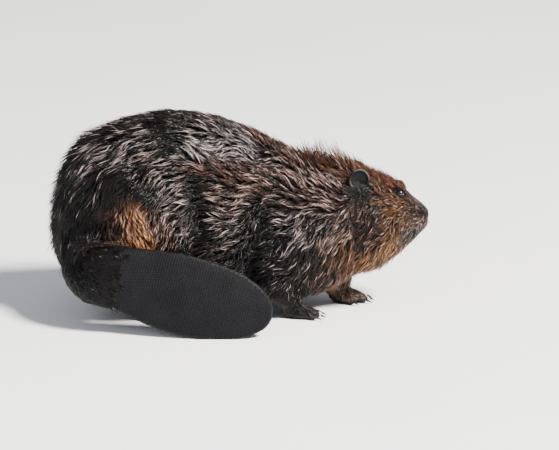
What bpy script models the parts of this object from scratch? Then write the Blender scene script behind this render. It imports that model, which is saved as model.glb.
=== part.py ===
"""A life-size North American beaver, crouched on all fours with its tail swung forward along its right side.

Metres. +X points to the nose, +Y to the animal's left and +Z up. The floor is at Z = 0. The outer surface is the
tip of the wet coat. The body is shaped whole, from masses that a voxel remesh blends, then parted by thin cuts.
"""

import math

import bmesh
import bpy
from mathutils import Euler, Matrix, Vector

MID_Y = 0.021  # the body's middle plane: the tail reaches further to the right than the flank does to the left
GAP = 0.0004  # left by every cut, so that neighbouring solids never share space

# Trunk, neck and head, as upright sections: x, top, bottom, height of the widest place, half width and squareness.
# A squareness of 2 is an ellipse, and more fills its corners.
BODY_SECTIONS = (
    (-0.2950, 0.148, 0.120, 0.134, 0.016, 2.2),  # back of the rump
    (-0.2890, 0.190, 0.088, 0.136, 0.050, 2.2),
    (-0.2730, 0.240, 0.064, 0.136, 0.080, 2.2),
    (-0.2450, 0.277, 0.050, 0.134, 0.100, 2.2),
    (-0.2000, 0.303, 0.042, 0.130, 0.114, 2.2),  # over the hips
    (-0.1400, 0.318, 0.038, 0.126, 0.122, 2.2),
    (-0.0800, 0.320, 0.036, 0.122, 0.126, 2.2),  # top of the arched back
    (-0.0200, 0.307, 0.033, 0.118, 0.124, 2.2),
    (0.0350, 0.282, 0.031, 0.116, 0.116, 2.2),
    (0.0800, 0.258, 0.029, 0.120, 0.104, 2.2),  # shoulders
    (0.1200, 0.243, 0.026, 0.130, 0.091, 2.2),  # the chest's fur hangs down between the forelegs
    (0.1550, 0.242, 0.037, 0.140, 0.079, 2.2),  # nape
    (0.1850, 0.235, 0.059, 0.146, 0.070, 2.3),
    (0.2130, 0.222, 0.067, 0.148, 0.064, 2.4),  # cheeks
    (0.2370, 0.212, 0.078, 0.149, 0.055, 2.5),
    (0.2560, 0.202, 0.094, 0.149, 0.046, 2.6),  # eyes
    (0.2720, 0.186, 0.109, 0.147, 0.039, 2.5),
    (0.2850, 0.175, 0.121, 0.148, 0.034, 2.4),
    (0.2950, 0.168, 0.131, 0.149, 0.028, 2.3),
    (0.3025, 0.162, 0.138, 0.150, 0.020, 2.2),  # nose
)
# Rounded masses of the face that are blended into the head: centre and radii. Each has a mirrored twin, unless it
# lies on the middle plane.
FACE_MASSES = (
    (Vector((0.2835, -0.0130, 0.1455)), (0.0150, 0.0180, 0.0165)),  # whisker pad
    (Vector((0.2700, 0.0, 0.1225)), (0.0160, 0.0165, 0.0095)),  # lower lip
    (Vector((0.2440, -0.0235, 0.1950)), (0.0200, 0.0090, 0.0080)),  # brow
    (Vector((0.2180, -0.0400, 0.1450)), (0.0380, 0.0290, 0.0480)),  # cheek
)
SECTION_SIDES = 40
STEPS_BETWEEN = 3  # sections made between each two of the table

# Hind legs, on the right side. The left is a mirrored copy, set a little forward.
THIGH_CENTRE = Vector((-0.135, -0.076, 0.143))
THIGH_RADII = (0.106, 0.061, 0.112)
KNEE = (Vector((-0.045, -0.088, 0.092)), 0.046)
SHANK = (Vector((-0.120, -0.078, 0.050)), 0.034)
HEEL = (Vector((-0.160, -0.060, 0.0175)), 0.0175)
LEFT_HIND_FORWARD = 0.018

# A hind foot is flat on the floor: sole, five webbed toes and their claws.
FOOT_BALL_X = 0.078  # from heel to the roots of the toes
FOOT_HALF_WIDTH_HEEL, FOOT_HALF_WIDTH_BALL = 0.012, 0.024
FOOT_TURN_OUT = math.radians(5)
TOE_LENGTHS = (0.048, 0.066, 0.074, 0.070, 0.056)  # inner to outer
TOE_SPREAD = (25, 12, 0, -12, -24)  # degrees, positive towards the body's middle
TOE_RADIUS = 0.0085
WEB_HALF_THICKNESS = 0.0032
HIND_CLAW_LENGTH = 0.017

# Forelegs: shoulder, elbow, wrist and the way the paw turns. The left one reaches forward.
SHOULDER = (Vector((0.088, -0.066, 0.128)), 0.052)
FORELEG = {
    "right": {"elbow": Vector((0.048, -0.078, 0.072)), "wrist": Vector((0.080, -0.064, 0.034)), "turn": 6},
    "left": {"elbow": Vector((0.098, 0.068, 0.076)), "wrist": Vector((0.157, 0.028, 0.040)), "turn": -4},
}
ELBOW_RADIUS, WRIST_RADIUS, HAND_RADIUS = 0.034, 0.0245, 0.0150
PALM_LENGTH, PALM_HALF_WIDTH = 0.021, 0.0125
FINGER_LENGTHS = (0.014, 0.022, 0.026, 0.024, 0.018)  # thumb to outer finger
FINGER_SPREAD = (38, 16, 2, -13, -29)  # degrees, positive towards the body's middle
FINGER_RADIUS = 0.0056
FORE_CLAW_LENGTH = 0.012
CLAW_SIDES, CLAW_RINGS = 5, 4
CLAW_FLOOR_GAP = 0.0012

# Tail: a thick furred root that turns forward round the right heel, then a flat oval paddle that stands on its edge.
# Centre line: x, y from the middle plane, z, half width across the paddle, half thickness, lean from upright.
TAIL_SECTIONS = (
    (-0.205, -0.015, 0.122, 0.060, 0.060, 0),
    (-0.228, -0.058, 0.100, 0.056, 0.054, 4),
    (-0.232, -0.104, 0.090, 0.052, 0.046, 8),
    (-0.214, -0.142, 0.092, 0.051, 0.034, 10),
    (-0.178, -0.160, 0.089, 0.053, 0.020, 10),  # the fur ends and the scales begin
)
PADDLE_TIP = Vector((0.056, -0.181, 0.036))
PADDLE_HALF_WIDTH, PADDLE_HALF_THICKNESS = 0.0660, 0.0105
PADDLE_LEAN = 10  # degrees from upright, its top edge towards the body
PADDLE_WIDEST = 0.37  # share of the paddle's length
PADDLE_STEPS = 22
TAIL_SIDES = 36

EYE_CENTRE, EYE_RADIUS = Vector((0.2560, -0.0270, 0.1945)), 0.0066
EAR_PLACES = {"right": Vector((0.1890, -0.0385, 0.2265)), "left": Vector((0.1845, 0.0385, 0.2240))}
EAR_TURNS = {"right": (18, -12, 14), "left": (-18, -30, -14)}
EAR_RADII, EAR_WALL = (0.0150, 0.0085, 0.0180), 0.0028
NOSE_CENTRE, NOSE_RADII = Vector((0.3010, 0.0, 0.1590)), (0.0130, 0.0165, 0.0150)

COARSE_VOXEL, FINE_VOXEL = 0.0050, 0.0022
COARSE_SMOOTHING, FINE_SMOOTHING = 8, 3
BODY_TRIANGLES = 3200
FACE_STARTS_AT = 0.235  # the face keeps a finer mesh ahead of this x
FACE_DECIMATION, FACE_HOLD = 0.5, 0.0002  # how freely the face's edges collapse, and what holding them costs

COLOURS = {  # linear red, green and blue, then roughness
    "coat_dark": (0.020, 0.013, 0.011, 0.42),
    "coat_brown": (0.060, 0.028, 0.017, 0.45),
    "coat_gold": (0.150, 0.070, 0.032, 0.50),
    "scales": (0.018, 0.018, 0.021, 0.55),
    "skin_dark": (0.022, 0.018, 0.018, 0.45),
    "eye": (0.004, 0.003, 0.003, 0.05),
    "claw": (0.050, 0.036, 0.028, 0.30),
}


# ---------------------------------------------------------------- scene and materials


def clear_scene():
    for obj in list(bpy.data.objects):
        bpy.data.objects.remove(obj, do_unlink=True)


def new_collection(name):
    collection = bpy.data.collections.new(name)
    bpy.context.scene.collection.children.link(collection)
    return collection


def make_materials():
    made = {}
    for name, (red, green, blue, roughness) in COLOURS.items():
        material = bpy.data.materials.new(name)
        material.use_nodes = True
        shader = material.node_tree.nodes["Principled BSDF"]
        shader.inputs["Base Color"].default_value = (red, green, blue, 1.0)
        shader.inputs["Roughness"].default_value = roughness
        shader.inputs["Metallic"].default_value = 0.0
        made[name] = material
    return made


# ---------------------------------------------------------------- shapes


def object_of(name, bm):
    """A new object in the scene from this bmesh, with its faces pointing out."""
    bmesh.ops.recalc_face_normals(bm, faces=bm.faces)
    mesh = bpy.data.meshes.new(name)
    bm.to_mesh(mesh)
    bm.free()
    obj = bpy.data.objects.new(name, mesh)
    bpy.context.scene.collection.objects.link(obj)
    return obj


def ball(name, centre, radii, turn=(0.0, 0.0, 0.0), segments=32):
    """An ellipsoid."""
    bm = bmesh.new()
    place = Matrix.Translation(centre) @ Euler(turn).to_matrix().to_4x4() @ Matrix.Diagonal((*radii, 1.0))
    bmesh.ops.create_uvsphere(bm, u_segments=segments, v_segments=segments // 2, radius=1.0, matrix=place)
    return object_of(name, bm)


def box(name, centre, size, turn=(0.0, 0.0, 0.0)):
    bm = bmesh.new()
    place = Matrix.Translation(centre) @ Euler(turn).to_matrix().to_4x4() @ Matrix.Diagonal((*size, 1.0))
    bmesh.ops.create_cube(bm, size=1.0, matrix=place)
    return object_of(name, bm)


def hull(name, spheres):
    """The smallest convex shape round some spheres, each a centre and a radius."""
    bm = bmesh.new()
    for centre, radius in spheres:
        bmesh.ops.create_icosphere(bm, subdivisions=2, radius=radius, matrix=Matrix.Translation(centre))
    bmesh.ops.delete(bm, geom=bm.edges[:], context="EDGES_FACES")
    bmesh.ops.convex_hull(bm, input=bm.verts)
    bmesh.ops.delete(bm, geom=[vertex for vertex in bm.verts if not vertex.link_faces], context="VERTS")
    return object_of(name, bm)


def loft(name, rings):
    """A closed skin through rings of equally many points, with flat ends."""
    bm = bmesh.new()
    rows = [[bm.verts.new(point) for point in ring] for ring in rings]
    for near, far in zip(rows, rows[1:]):
        for i in range(len(near)):
            j = (i + 1) % len(near)
            bm.faces.new((near[i], near[j], far[j], far[i]))
    bm.faces.new(rows[0])
    bm.faces.new(rows[-1])
    return object_of(name, bm)


def smooth_between(rows, steps):
    """Rows of numbers with steps - 1 more rows between each two, on a Catmull-Rom curve through them all."""
    ends = [rows[0], *rows, rows[-1]]
    made = []
    for before, start, end, after in zip(ends, ends[1:], ends[2:], ends[3:]):
        for step in range(steps):
            t = step / steps
            made.append(
                [
                    0.5 * (2 * b + (c - a) * t + (2 * a - 5 * b + 4 * c - d) * t**2 + (3 * b - a - 3 * c + d) * t**3)
                    for a, b, c, d in zip(before, start, end, after)
                ]
            )
    return [*made, list(rows[-1])]


def rounded(angle, squareness):
    """Cosine and sine pushed out towards the corners of a square."""
    power = 2 / squareness
    c, s = math.cos(angle), math.sin(angle)
    return math.copysign(abs(c) ** power, c), math.copysign(abs(s) ** power, s)


def body_rings():
    rings = []
    for x, top, bottom, widest, half_width, squareness in smooth_between(BODY_SECTIONS, STEPS_BETWEEN):
        ring = []
        for i in range(SECTION_SIDES):
            across, up = rounded(2 * math.pi * i / SECTION_SIDES, squareness)
            height = top - widest if up > 0 else widest - bottom
            ring.append(Vector((x, MID_Y + half_width * across, widest + height * up)))
        rings.append(ring)
    return rings


# ---------------------------------------------------------------- limbs


def on_side(point, sign, forward=0.0):
    """A place given on the right side, or its mirror image, in the body's frame. sign is -1 for right and 1 for left."""
    return Vector((point[0] + forward, MID_Y - sign * point[1], point[2]))


def turned(length, degrees, sign):
    """A level vector of this length ahead, turned towards the body's middle plane by these degrees."""
    angle = -sign * math.radians(degrees)
    return Vector((length * math.cos(angle), length * math.sin(angle), 0.0))


def hind_leg(sign, forward):
    """Thigh, knee, shank and heel."""
    thigh = ball("thigh", on_side(THIGH_CENTRE, sign, forward), THIGH_RADII)
    joints = [(on_side(place, sign, forward), radius) for place, radius in (KNEE, SHANK, HEEL)]
    return [thigh, hull("knee", joints[:2]), hull("shank", joints[1:])]


def hind_foot(sign, forward):
    """(pieces, claws) of a foot on the floor. Each claw is its root, its tip and its radius."""
    heel = on_side(HEEL[0], sign, forward)
    turn_out = -math.degrees(FOOT_TURN_OUT)
    ahead = turned(1.0, turn_out, sign)
    inward = turned(1.0, turn_out + 90, sign)
    level = Vector((heel.x, heel.y, 0.0))
    sole = []
    for distance, half_width, height, radius in (
        (0.0, FOOT_HALF_WIDTH_HEEL, 0.0140, 0.0155),
        (FOOT_BALL_X, FOOT_HALF_WIDTH_BALL, 0.0090, 0.0105),
    ):
        for across in (-half_width, half_width):
            sole.append((level + ahead * distance + inward * across + Vector((0, 0, height)), radius))
    pieces = [hull("sole", sole)]
    toes, claws = [], []
    for i, (length, spread) in enumerate(zip(TOE_LENGTHS, TOE_SPREAD)):
        across = FOOT_HALF_WIDTH_BALL * (1 - i / 2)
        root = level + ahead * (FOOT_BALL_X - 0.012) + inward * across + Vector((0, 0, TOE_RADIUS - 0.001))
        run = turned(1.0, turn_out + spread, sign)
        knuckle = root + run * length * 0.55 + Vector((0, 0, 0.0016))
        tip = root + run * length - Vector((0, 0, 0.0018))
        pieces.append(hull("toe", [(root, TOE_RADIUS + 0.0006), (knuckle, TOE_RADIUS)]))
        pieces.append(hull("toe", [(knuckle, TOE_RADIUS), (tip, TOE_RADIUS - 0.0016)]))
        toes.append((root, tip - run * 0.007))
        claw_root = tip + run * 0.001 + Vector((0, 0, 0.0012))
        claw_tip = claw_root + run * HIND_CLAW_LENGTH
        claw_tip.z = CLAW_FLOOR_GAP + 0.0010
        claws.append((claw_root, claw_tip, 0.0046))
    for (root_a, tip_a), (root_b, tip_b) in zip(toes, toes[1:]):
        corners = [Vector((p.x, p.y, WEB_HALF_THICKNESS + 0.0004)) for p in (root_a, tip_a, root_b, tip_b)]
        pieces.append(hull("web", [(corner, WEB_HALF_THICKNESS) for corner in corners]))
    return pieces, claws


def foreleg(sign, bones):
    elbow, wrist = on_side(bones["elbow"], -1), on_side(bones["wrist"], -1)
    shoulder = on_side(SHOULDER[0], sign)
    upper = hull("upper_arm", [(shoulder, SHOULDER[1]), (elbow, ELBOW_RADIUS)])
    lower = hull("forearm", [(elbow, ELBOW_RADIUS), (wrist, WRIST_RADIUS)])
    return [upper, lower]


def forepaw(sign, bones):
    """(pieces, claws) of a forepaw: a palm on the floor, five fingers and their claws."""
    wrist = on_side(bones["wrist"], -1)
    turn = bones["turn"]
    ahead, inward = turned(1.0, turn, sign), turned(1.0, turn + 90, sign)
    ball_of_paw = Vector((wrist.x, wrist.y, 0.0)) + ahead * PALM_LENGTH
    palm = [(Vector((wrist.x, wrist.y, HAND_RADIUS + 0.008)), HAND_RADIUS)]
    palm.append((Vector((wrist.x - 0.002, wrist.y, HAND_RADIUS - 0.003)), HAND_RADIUS - 0.002))
    for across in (-PALM_HALF_WIDTH, PALM_HALF_WIDTH):
        palm.append((ball_of_paw + inward * across + Vector((0, 0, 0.0088)), 0.0100))
    pieces, claws = [hull("palm", palm)], []
    for i, (length, spread) in enumerate(zip(FINGER_LENGTHS, FINGER_SPREAD)):
        across = (PALM_HALF_WIDTH + 0.003) * (1 - i / 2)
        back = 0.010 if i == 0 else 0.0
        root = ball_of_paw + inward * across - ahead * back + Vector((0, 0, 0.0100))
        run = turned(1.0, turn + spread, sign)
        knuckle = root + run * length * 0.5 + Vector((0, 0, 0.0006))
        tip = root + run * length
        tip.z = FINGER_RADIUS - 0.0012
        pieces.append(hull("finger", [(root, FINGER_RADIUS + 0.0012), (knuckle, FINGER_RADIUS + 0.0004)]))
        pieces.append(hull("finger", [(knuckle, FINGER_RADIUS + 0.0004), (tip, FINGER_RADIUS)]))
        claw_root = tip + run * 0.001 + Vector((0, 0, 0.0016))
        claw_tip = claw_root + run * FORE_CLAW_LENGTH
        claw_tip.z = CLAW_FLOOR_GAP + 0.0006
        claws.append((claw_root, claw_tip, 0.0030))
    return pieces, claws


def claw(name, root, tip, radius):
    """A blunt claw: a tube that narrows along a drooping curve from its root to its tip."""
    middle = (root + tip) / 2 + Vector((0, 0, 0.35 * radius + 0.0016))
    side = (tip - root).cross(Vector((0, 0, 1))).normalized()
    rings = []
    for step in range(CLAW_RINGS):
        t = step / (CLAW_RINGS - 1)
        centre = root * (1 - t) ** 2 + middle * 2 * t * (1 - t) + tip * t**2
        run = (middle - root) * 2 * (1 - t) + (tip - middle) * 2 * t
        up = side.cross(run.normalized())
        size = radius * (1 - 0.84 * t**1.4)
        rings.append(
            [
                centre
                + side * size * math.cos(2 * math.pi * i / CLAW_SIDES)
                + up * size * 0.85 * math.sin(2 * math.pi * i / CLAW_SIDES)
                for i in range(CLAW_SIDES)
            ]
        )
    return loft(name, rings)


# ---------------------------------------------------------------- tail


def paddle_share(t):
    """Half width at a share t of the paddle's length, as a share of the greatest."""
    start = TAIL_SECTIONS[-1][3] / PADDLE_HALF_WIDTH
    if t < PADDLE_WIDEST:
        return start + (1 - start) * math.sin(math.pi / 2 * t / PADDLE_WIDEST)
    return math.sqrt(max(0.0, 1 - ((t - PADDLE_WIDEST) / (1 - PADDLE_WIDEST)) ** 2.4))


def tail_rows():
    """Centre line and sizes of the whole tail, root to tip."""
    root = smooth_between(TAIL_SECTIONS, 4)
    start = Vector(TAIL_SECTIONS[-1][:3])
    first_thickness = TAIL_SECTIONS[-1][4]
    rows = root[:-1]
    for step in range(PADDLE_STEPS):
        t = 1 - (1 - step / PADDLE_STEPS) ** 1.6
        place = start.lerp(PADDLE_TIP, t)
        bow = 0.010 * math.sin(math.pi * t)  # the paddle curves round the haunch
        share = paddle_share(t)
        thickness = PADDLE_HALF_THICKNESS + (first_thickness - PADDLE_HALF_THICKNESS) * (1 - t) ** 5
        thickness *= 0.35 + 0.65 * share
        rows.append([place.x, place.y - bow, place.z, PADDLE_HALF_WIDTH * share, thickness, PADDLE_LEAN])
    return rows


def tail_rings():
    rows = tail_rows()
    centres = [Vector((row[0], MID_Y + row[1], row[2])) for row in rows]
    rings = []
    for i, (centre, row) in enumerate(zip(centres, rows)):
        before, after = centres[max(i - 1, 0)], centres[min(i + 1, len(rows) - 1)]
        run = (after - before).normalized()
        half_width, half_thickness, lean = row[3], row[4], math.radians(row[5])
        upright = Vector((0, math.sin(lean), math.cos(lean)))
        across = (upright - run * upright.dot(run)).normalized()
        out = run.cross(across)
        rings.append(
            [
                centre
                + across * half_width * math.cos(2 * math.pi * k / TAIL_SIDES)
                + out * half_thickness * math.sin(2 * math.pi * k / TAIL_SIDES)
                for k in range(TAIL_SIDES)
            ]
        )
    return rings


# ---------------------------------------------------------------- modifiers


def apply_modifiers(obj):
    """Replaces the object's mesh by the one that its modifiers make."""
    graph = bpy.context.evaluated_depsgraph_get()
    mesh = bpy.data.meshes.new_from_object(obj.evaluated_get(graph))
    obj.modifiers.clear()
    obj.data = mesh
    return obj


def joined(name, pieces):
    """One object that holds the meshes of all these."""
    bm = bmesh.new()
    for piece in pieces:
        bm.from_mesh(piece.data)
        bpy.data.objects.remove(piece, do_unlink=True)
    mesh = bpy.data.meshes.new(name)
    bm.to_mesh(mesh)
    bm.free()
    obj = bpy.data.objects.new(name, mesh)
    bpy.context.scene.collection.objects.link(obj)
    return obj


def blended(name, pieces, voxel, smoothing):
    """The pieces fused into one skin by a voxel remesh, then smoothed."""
    obj = joined(name, pieces)
    remesh = obj.modifiers.new("remesh", "REMESH")
    remesh.mode = "VOXEL"
    remesh.voxel_size = voxel
    remesh.adaptivity = 0.0
    smooth = obj.modifiers.new("smooth", "SMOOTH")
    smooth.factor = 0.5
    smooth.iterations = smoothing
    return apply_modifiers(obj)


def cut(target, tool, operation, keep_tool=False):
    """The target after an exact Boolean with the tool."""
    boolean = target.modifiers.new("cut", "BOOLEAN")
    boolean.operation = operation
    boolean.solver = "EXACT"
    boolean.object = tool
    apply_modifiers(target)
    if not keep_tool:
        bpy.data.objects.remove(tool, do_unlink=True)
    return target


def copy_of(obj, name):
    duplicate = bpy.data.objects.new(name, obj.data.copy())
    bpy.context.scene.collection.objects.link(duplicate)
    return duplicate


def grown(obj, by):
    """A copy of the object with its surface moved out by this much."""
    duplicate = copy_of(obj, "grown")
    displace = duplicate.modifiers.new("grow", "DISPLACE")
    displace.direction = "NORMAL"
    displace.mid_level = 0.0
    displace.strength = by
    return apply_modifiers(duplicate)


# ---------------------------------------------------------------- parting the body

REGION_SEGMENTS = 18
FORELEG_ROOM = 0.005
# Regions of the whole body: a shape, its centre, its size or radii, and its turn in degrees.
REGIONS = {
    "head": (box, (0.274, 0.0, 0.145), (0.220, 0.200, 0.240), (0, 5, 0)),
    "neck": (box, (0.2700, 0.0, 0.2138), (0.300, 0.300, 0.300), (0, -18, 0)),
    "thigh_right": (ball, (-0.130, -0.104, 0.130), (0.112, 0.058, 0.120), (0, 0, 0)),
    "thigh_left": (ball, (-0.112, 0.104, 0.130), (0.112, 0.058, 0.120), (0, 0, 0)),
    "hind_foot_right": (box, (-0.085, -0.0725, 0.000), (0.250, 0.135, 0.060), (0, 0, 0)),
    "hind_foot_left": (box, (-0.067, 0.0725, 0.000), (0.250, 0.135, 0.060), (0, 0, 0)),
    "forepaw_right": (ball, (0.101, -0.064, 0.010), (0.053, 0.040, 0.027), (0, 0, 0)),
    "forepaw_left": (ball, (0.178, 0.026, 0.010), (0.053, 0.042, 0.030), (0, 0, 0)),
    "tail_root": (ball, (-0.222, -0.128, 0.088), (0.086, 0.062, 0.082), (0, 0, 0)),
    "tail_paddle": (box, (-0.036, -0.186, 0.085), (0.300, 0.092, 0.190), (0, 12, 0)),
}
PARTING_ORDER = (
    "tail_paddle",
    "tail_root",
    "hind_foot_right",
    "hind_foot_left",
    "forepaw_right",
    "forepaw_left",
    "foreleg_right",
    "foreleg_left",
    "head",
    "neck",
    "thigh_right",
    "thigh_left",
)


def foreleg_region(side, grow):
    """The shoulder, elbow and wrist of one foreleg with some room round them."""
    sign = -1 if side == "right" else 1
    bones = FORELEG[side]
    room = FORELEG_ROOM + grow
    places = [(on_side(SHOULDER[0], sign), SHOULDER[1] + room), (on_side(bones["elbow"], -1), ELBOW_RADIUS + room)]
    return hull("foreleg_region", [*places, (on_side(bones["wrist"], -1), WRIST_RADIUS + room)])


def region(name, grow):
    if name.startswith("foreleg"):
        return foreleg_region(name.split("_")[1], grow)
    shape, centre, size, turn = REGIONS[name]
    place = Vector((centre[0], MID_Y + centre[1], centre[2]))
    turn = [math.radians(angle) for angle in turn]
    if shape is ball:
        return ball(name + "_region", place, [radius + grow for radius in size], turn, segments=REGION_SEGMENTS)
    return box(name + "_region", place, [side + 2 * grow for side in size], turn)


def part_body(whole):
    """The named parts of the body, each cut out of what the earlier ones left."""
    parts = {}
    for name in PARTING_ORDER:
        parts[name] = cut(copy_of(whole, name), region(name, 0.0), "INTERSECT")
        cut(whole, region(name, GAP), "DIFFERENCE")
    whole.name = "trunk"
    parts["trunk"] = whole
    return parts


def whole_body():
    """(the whole body as one closed mesh that stands on the floor, the claws of each paw)."""
    masses = [loft("trunk_mass", body_rings())]
    for sign, forward in ((-1, 0.0), (1, LEFT_HIND_FORWARD)):
        masses += hind_leg(sign, forward)
    for sign, side in ((-1, "right"), (1, "left")):
        masses += foreleg(sign, FORELEG[side])
    torso = blended("torso", masses, COARSE_VOXEL, COARSE_SMOOTHING)
    fine = [torso, loft("tail_mass", tail_rings())]
    for centre, radii in FACE_MASSES:
        sides = (-1, 1) if centre.y else (1,)
        fine += [ball("face_mass", on_side(centre, sign), radii) for sign in sides]
    claws = {}
    for sign, side, forward in ((-1, "right", 0.0), (1, "left", LEFT_HIND_FORWARD)):
        pieces, claws["hind_foot_" + side] = hind_foot(sign, forward)
        fine += pieces
        pieces, claws["forepaw_" + side] = forepaw(sign, FORELEG[side])
        fine += pieces
    body = blended("body", fine, FINE_VOXEL, FINE_SMOOTHING)
    freedom = body.vertex_groups.new(name="freedom_to_collapse")
    for vertex in body.data.vertices:
        freedom.add([vertex.index], 1.0 if vertex.co.x < FACE_STARTS_AT else FACE_DECIMATION, "REPLACE")
    decimate = body.modifiers.new("decimate", "DECIMATE")
    body.data.calc_loop_triangles()
    decimate.ratio = BODY_TRIANGLES / len(body.data.loop_triangles)
    decimate.vertex_group = freedom.name
    decimate.vertex_group_factor = FACE_HOLD
    apply_modifiers(body)
    below_floor = box("floor", Vector((0, 0, -0.05)), (2.0, 2.0, 0.1))
    return cut(body, below_floor, "DIFFERENCE"), claws


# ---------------------------------------------------------------- small parts of the head and the claws


def add_eyes(parts):
    for sign, side in ((-1, "right"), (1, "left")):
        centre = on_side(EYE_CENTRE, sign)
        cut(parts["head"], ball("socket", centre, (EYE_RADIUS + GAP,) * 3, segments=12), "DIFFERENCE")
        parts["eye_" + side] = ball("eye_" + side, centre, (EYE_RADIUS,) * 3, segments=12)


def add_nose(parts):
    """The bare pad round the nostrils, parted from the head."""
    centre = on_side(NOSE_CENTRE, 1)
    pad = ball("nose_region", centre, NOSE_RADII, segments=16)
    parts["nose"] = cut(copy_of(parts["head"], "nose"), pad, "INTERSECT")
    around = ball("nose_region", centre, [radius + GAP for radius in NOSE_RADII], segments=16)
    cut(parts["head"], around, "DIFFERENCE")


def add_ears(parts):
    """Small round cups that open outwards and a little forward, trimmed where they meet the head."""
    for sign, side in ((-1, "right"), (1, "left")):
        turn = [math.radians(angle) for angle in EAR_TURNS[side]]
        centre = on_side(EAR_PLACES[side], -1)
        ear = ball("ear_" + side, centre, EAR_RADII, turn, segments=14)
        outward = Euler(turn).to_matrix() @ Vector((0, sign, 0))
        hollow_radii = [radius - EAR_WALL for radius in EAR_RADII]
        cut(ear, ball("hollow", centre + outward * 0.0050, hollow_radii, turn, segments=14), "DIFFERENCE")
        for under in ("head", "neck"):
            cut(ear, grown(parts[under], GAP), "DIFFERENCE")
        parts["ear_" + side] = ear


def add_claws(parts, claws):
    """Each claw is trimmed where it leaves its digit."""
    for paw, places in claws.items():
        around = grown(parts[paw], GAP)
        for number, (root, tip, radius) in enumerate(places, 1):
            name = f"claw_{paw}_{number}"
            parts[name] = cut(claw(name, root, tip, radius), around, "DIFFERENCE", keep_tool=True)
        bpy.data.objects.remove(around, do_unlink=True)


def material_of(name):
    if name.startswith("claw"):
        return "claw"
    if name.startswith("eye"):
        return "eye"
    if name == "tail_paddle":
        return "scales"
    if name in ("nose", "ear_right", "ear_left") or name.startswith("hind_foot"):
        return "skin_dark"
    if name == "head":
        return "coat_gold"
    return "coat_brown" if name in ("neck", "foreleg_right", "foreleg_left") else "coat_dark"


def centre_on_origin(parts):
    """Moves every mesh so that the origin is on the floor, under the middle of the whole."""
    corners = [vertex.co for part in parts.values() for vertex in part.data.vertices]
    low = [min(corner[i] for corner in corners) for i in range(3)]
    high = [max(corner[i] for corner in corners) for i in range(3)]
    shift = Vector((-(low[0] + high[0]) / 2, -(low[1] + high[1]) / 2, -low[2]))
    for part in parts.values():
        part.data.transform(Matrix.Translation(shift))


def main():
    clear_scene()
    materials = make_materials()
    beaver = new_collection("beaver")
    body, claws = whole_body()
    parts = part_body(body)
    add_nose(parts)
    add_eyes(parts)
    add_ears(parts)
    add_claws(parts, claws)
    centre_on_origin(parts)
    for name, part in parts.items():
        part.name = name
        part.data.materials.clear()
        part.data.materials.append(materials[material_of(name)])
        part.data.shade_smooth()
        part.data.set_sharp_from_angle(angle=math.radians(50))
        bpy.context.scene.collection.objects.unlink(part)
        beaver.objects.link(part)


main()
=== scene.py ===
"""A life-size North American beaver with its wet coat, scaly tail, eyes, ears, claws and whiskers.

Metres. +X points to the nose, +Y to the animal's left and +Z up. The body's own frame has its X from
the eyes, its Y from the middle plane between them and its Z from the floor.
"""

import math

import bpy
import numpy as np
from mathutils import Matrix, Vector
from mathutils.bvhtree import BVHTree
from mathutils.kdtree import KDTree


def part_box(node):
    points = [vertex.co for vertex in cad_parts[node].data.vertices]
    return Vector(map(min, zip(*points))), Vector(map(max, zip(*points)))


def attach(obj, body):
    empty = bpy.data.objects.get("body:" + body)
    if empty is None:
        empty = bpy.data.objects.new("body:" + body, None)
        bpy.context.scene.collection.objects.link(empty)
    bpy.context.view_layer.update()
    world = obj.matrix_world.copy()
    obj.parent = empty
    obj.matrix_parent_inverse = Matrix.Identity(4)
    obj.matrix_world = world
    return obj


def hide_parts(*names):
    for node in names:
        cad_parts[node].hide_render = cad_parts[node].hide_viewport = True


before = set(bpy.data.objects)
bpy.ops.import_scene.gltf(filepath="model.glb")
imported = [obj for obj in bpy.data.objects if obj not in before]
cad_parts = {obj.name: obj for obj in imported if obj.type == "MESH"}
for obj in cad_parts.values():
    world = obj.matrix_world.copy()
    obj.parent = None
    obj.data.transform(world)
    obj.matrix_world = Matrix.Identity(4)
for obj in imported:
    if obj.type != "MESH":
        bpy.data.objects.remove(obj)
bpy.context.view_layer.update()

# ---------------------------------------------------------------- the body's own frame

EYE_X = 0.2560  # the eyes' centres, ahead of the body's own origin


def middle_of(node):
    low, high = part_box(node)
    return (low + high) / 2


EYE_CENTRES = {"right": middle_of("eye_right"), "left": middle_of("eye_left")}
ORIGIN = Vector((EYE_CENTRES["right"].x - EYE_X, (EYE_CENTRES["right"].y + EYE_CENTRES["left"].y) / 2, 0.0))
ORIGIN_ROW = np.array(ORIGIN)


def at(x, y, z):
    """A place in the body's own frame."""
    return Vector((x, y, z)) + ORIGIN


# ---------------------------------------------------------------- the coat's plan

PELT = {  # linear red, green and blue
    "soot": (0.0045, 0.0038, 0.0040),
    "umber": (0.011, 0.0080, 0.0070),
    "brown": (0.026, 0.0135, 0.0095),
    "rust": (0.040, 0.0175, 0.0115),
    "auburn": (0.072, 0.0270, 0.0145),
    "tawny": (0.085, 0.037, 0.0170),
    "honey": (0.190, 0.092, 0.0400),
    "gold": (0.260, 0.110, 0.0380),
    "fawn": (0.085, 0.052, 0.0360),
    # a grey that stands in for the painted sheen of wet hair on the back
    "silver_sheen": (0.050, 0.042, 0.0420),
}
PAINTED_GLINT = np.array((0.720, 0.630, 0.620))  # painted highlight: the pale glint of wet hair, mixed into some tufts' colour
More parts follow.
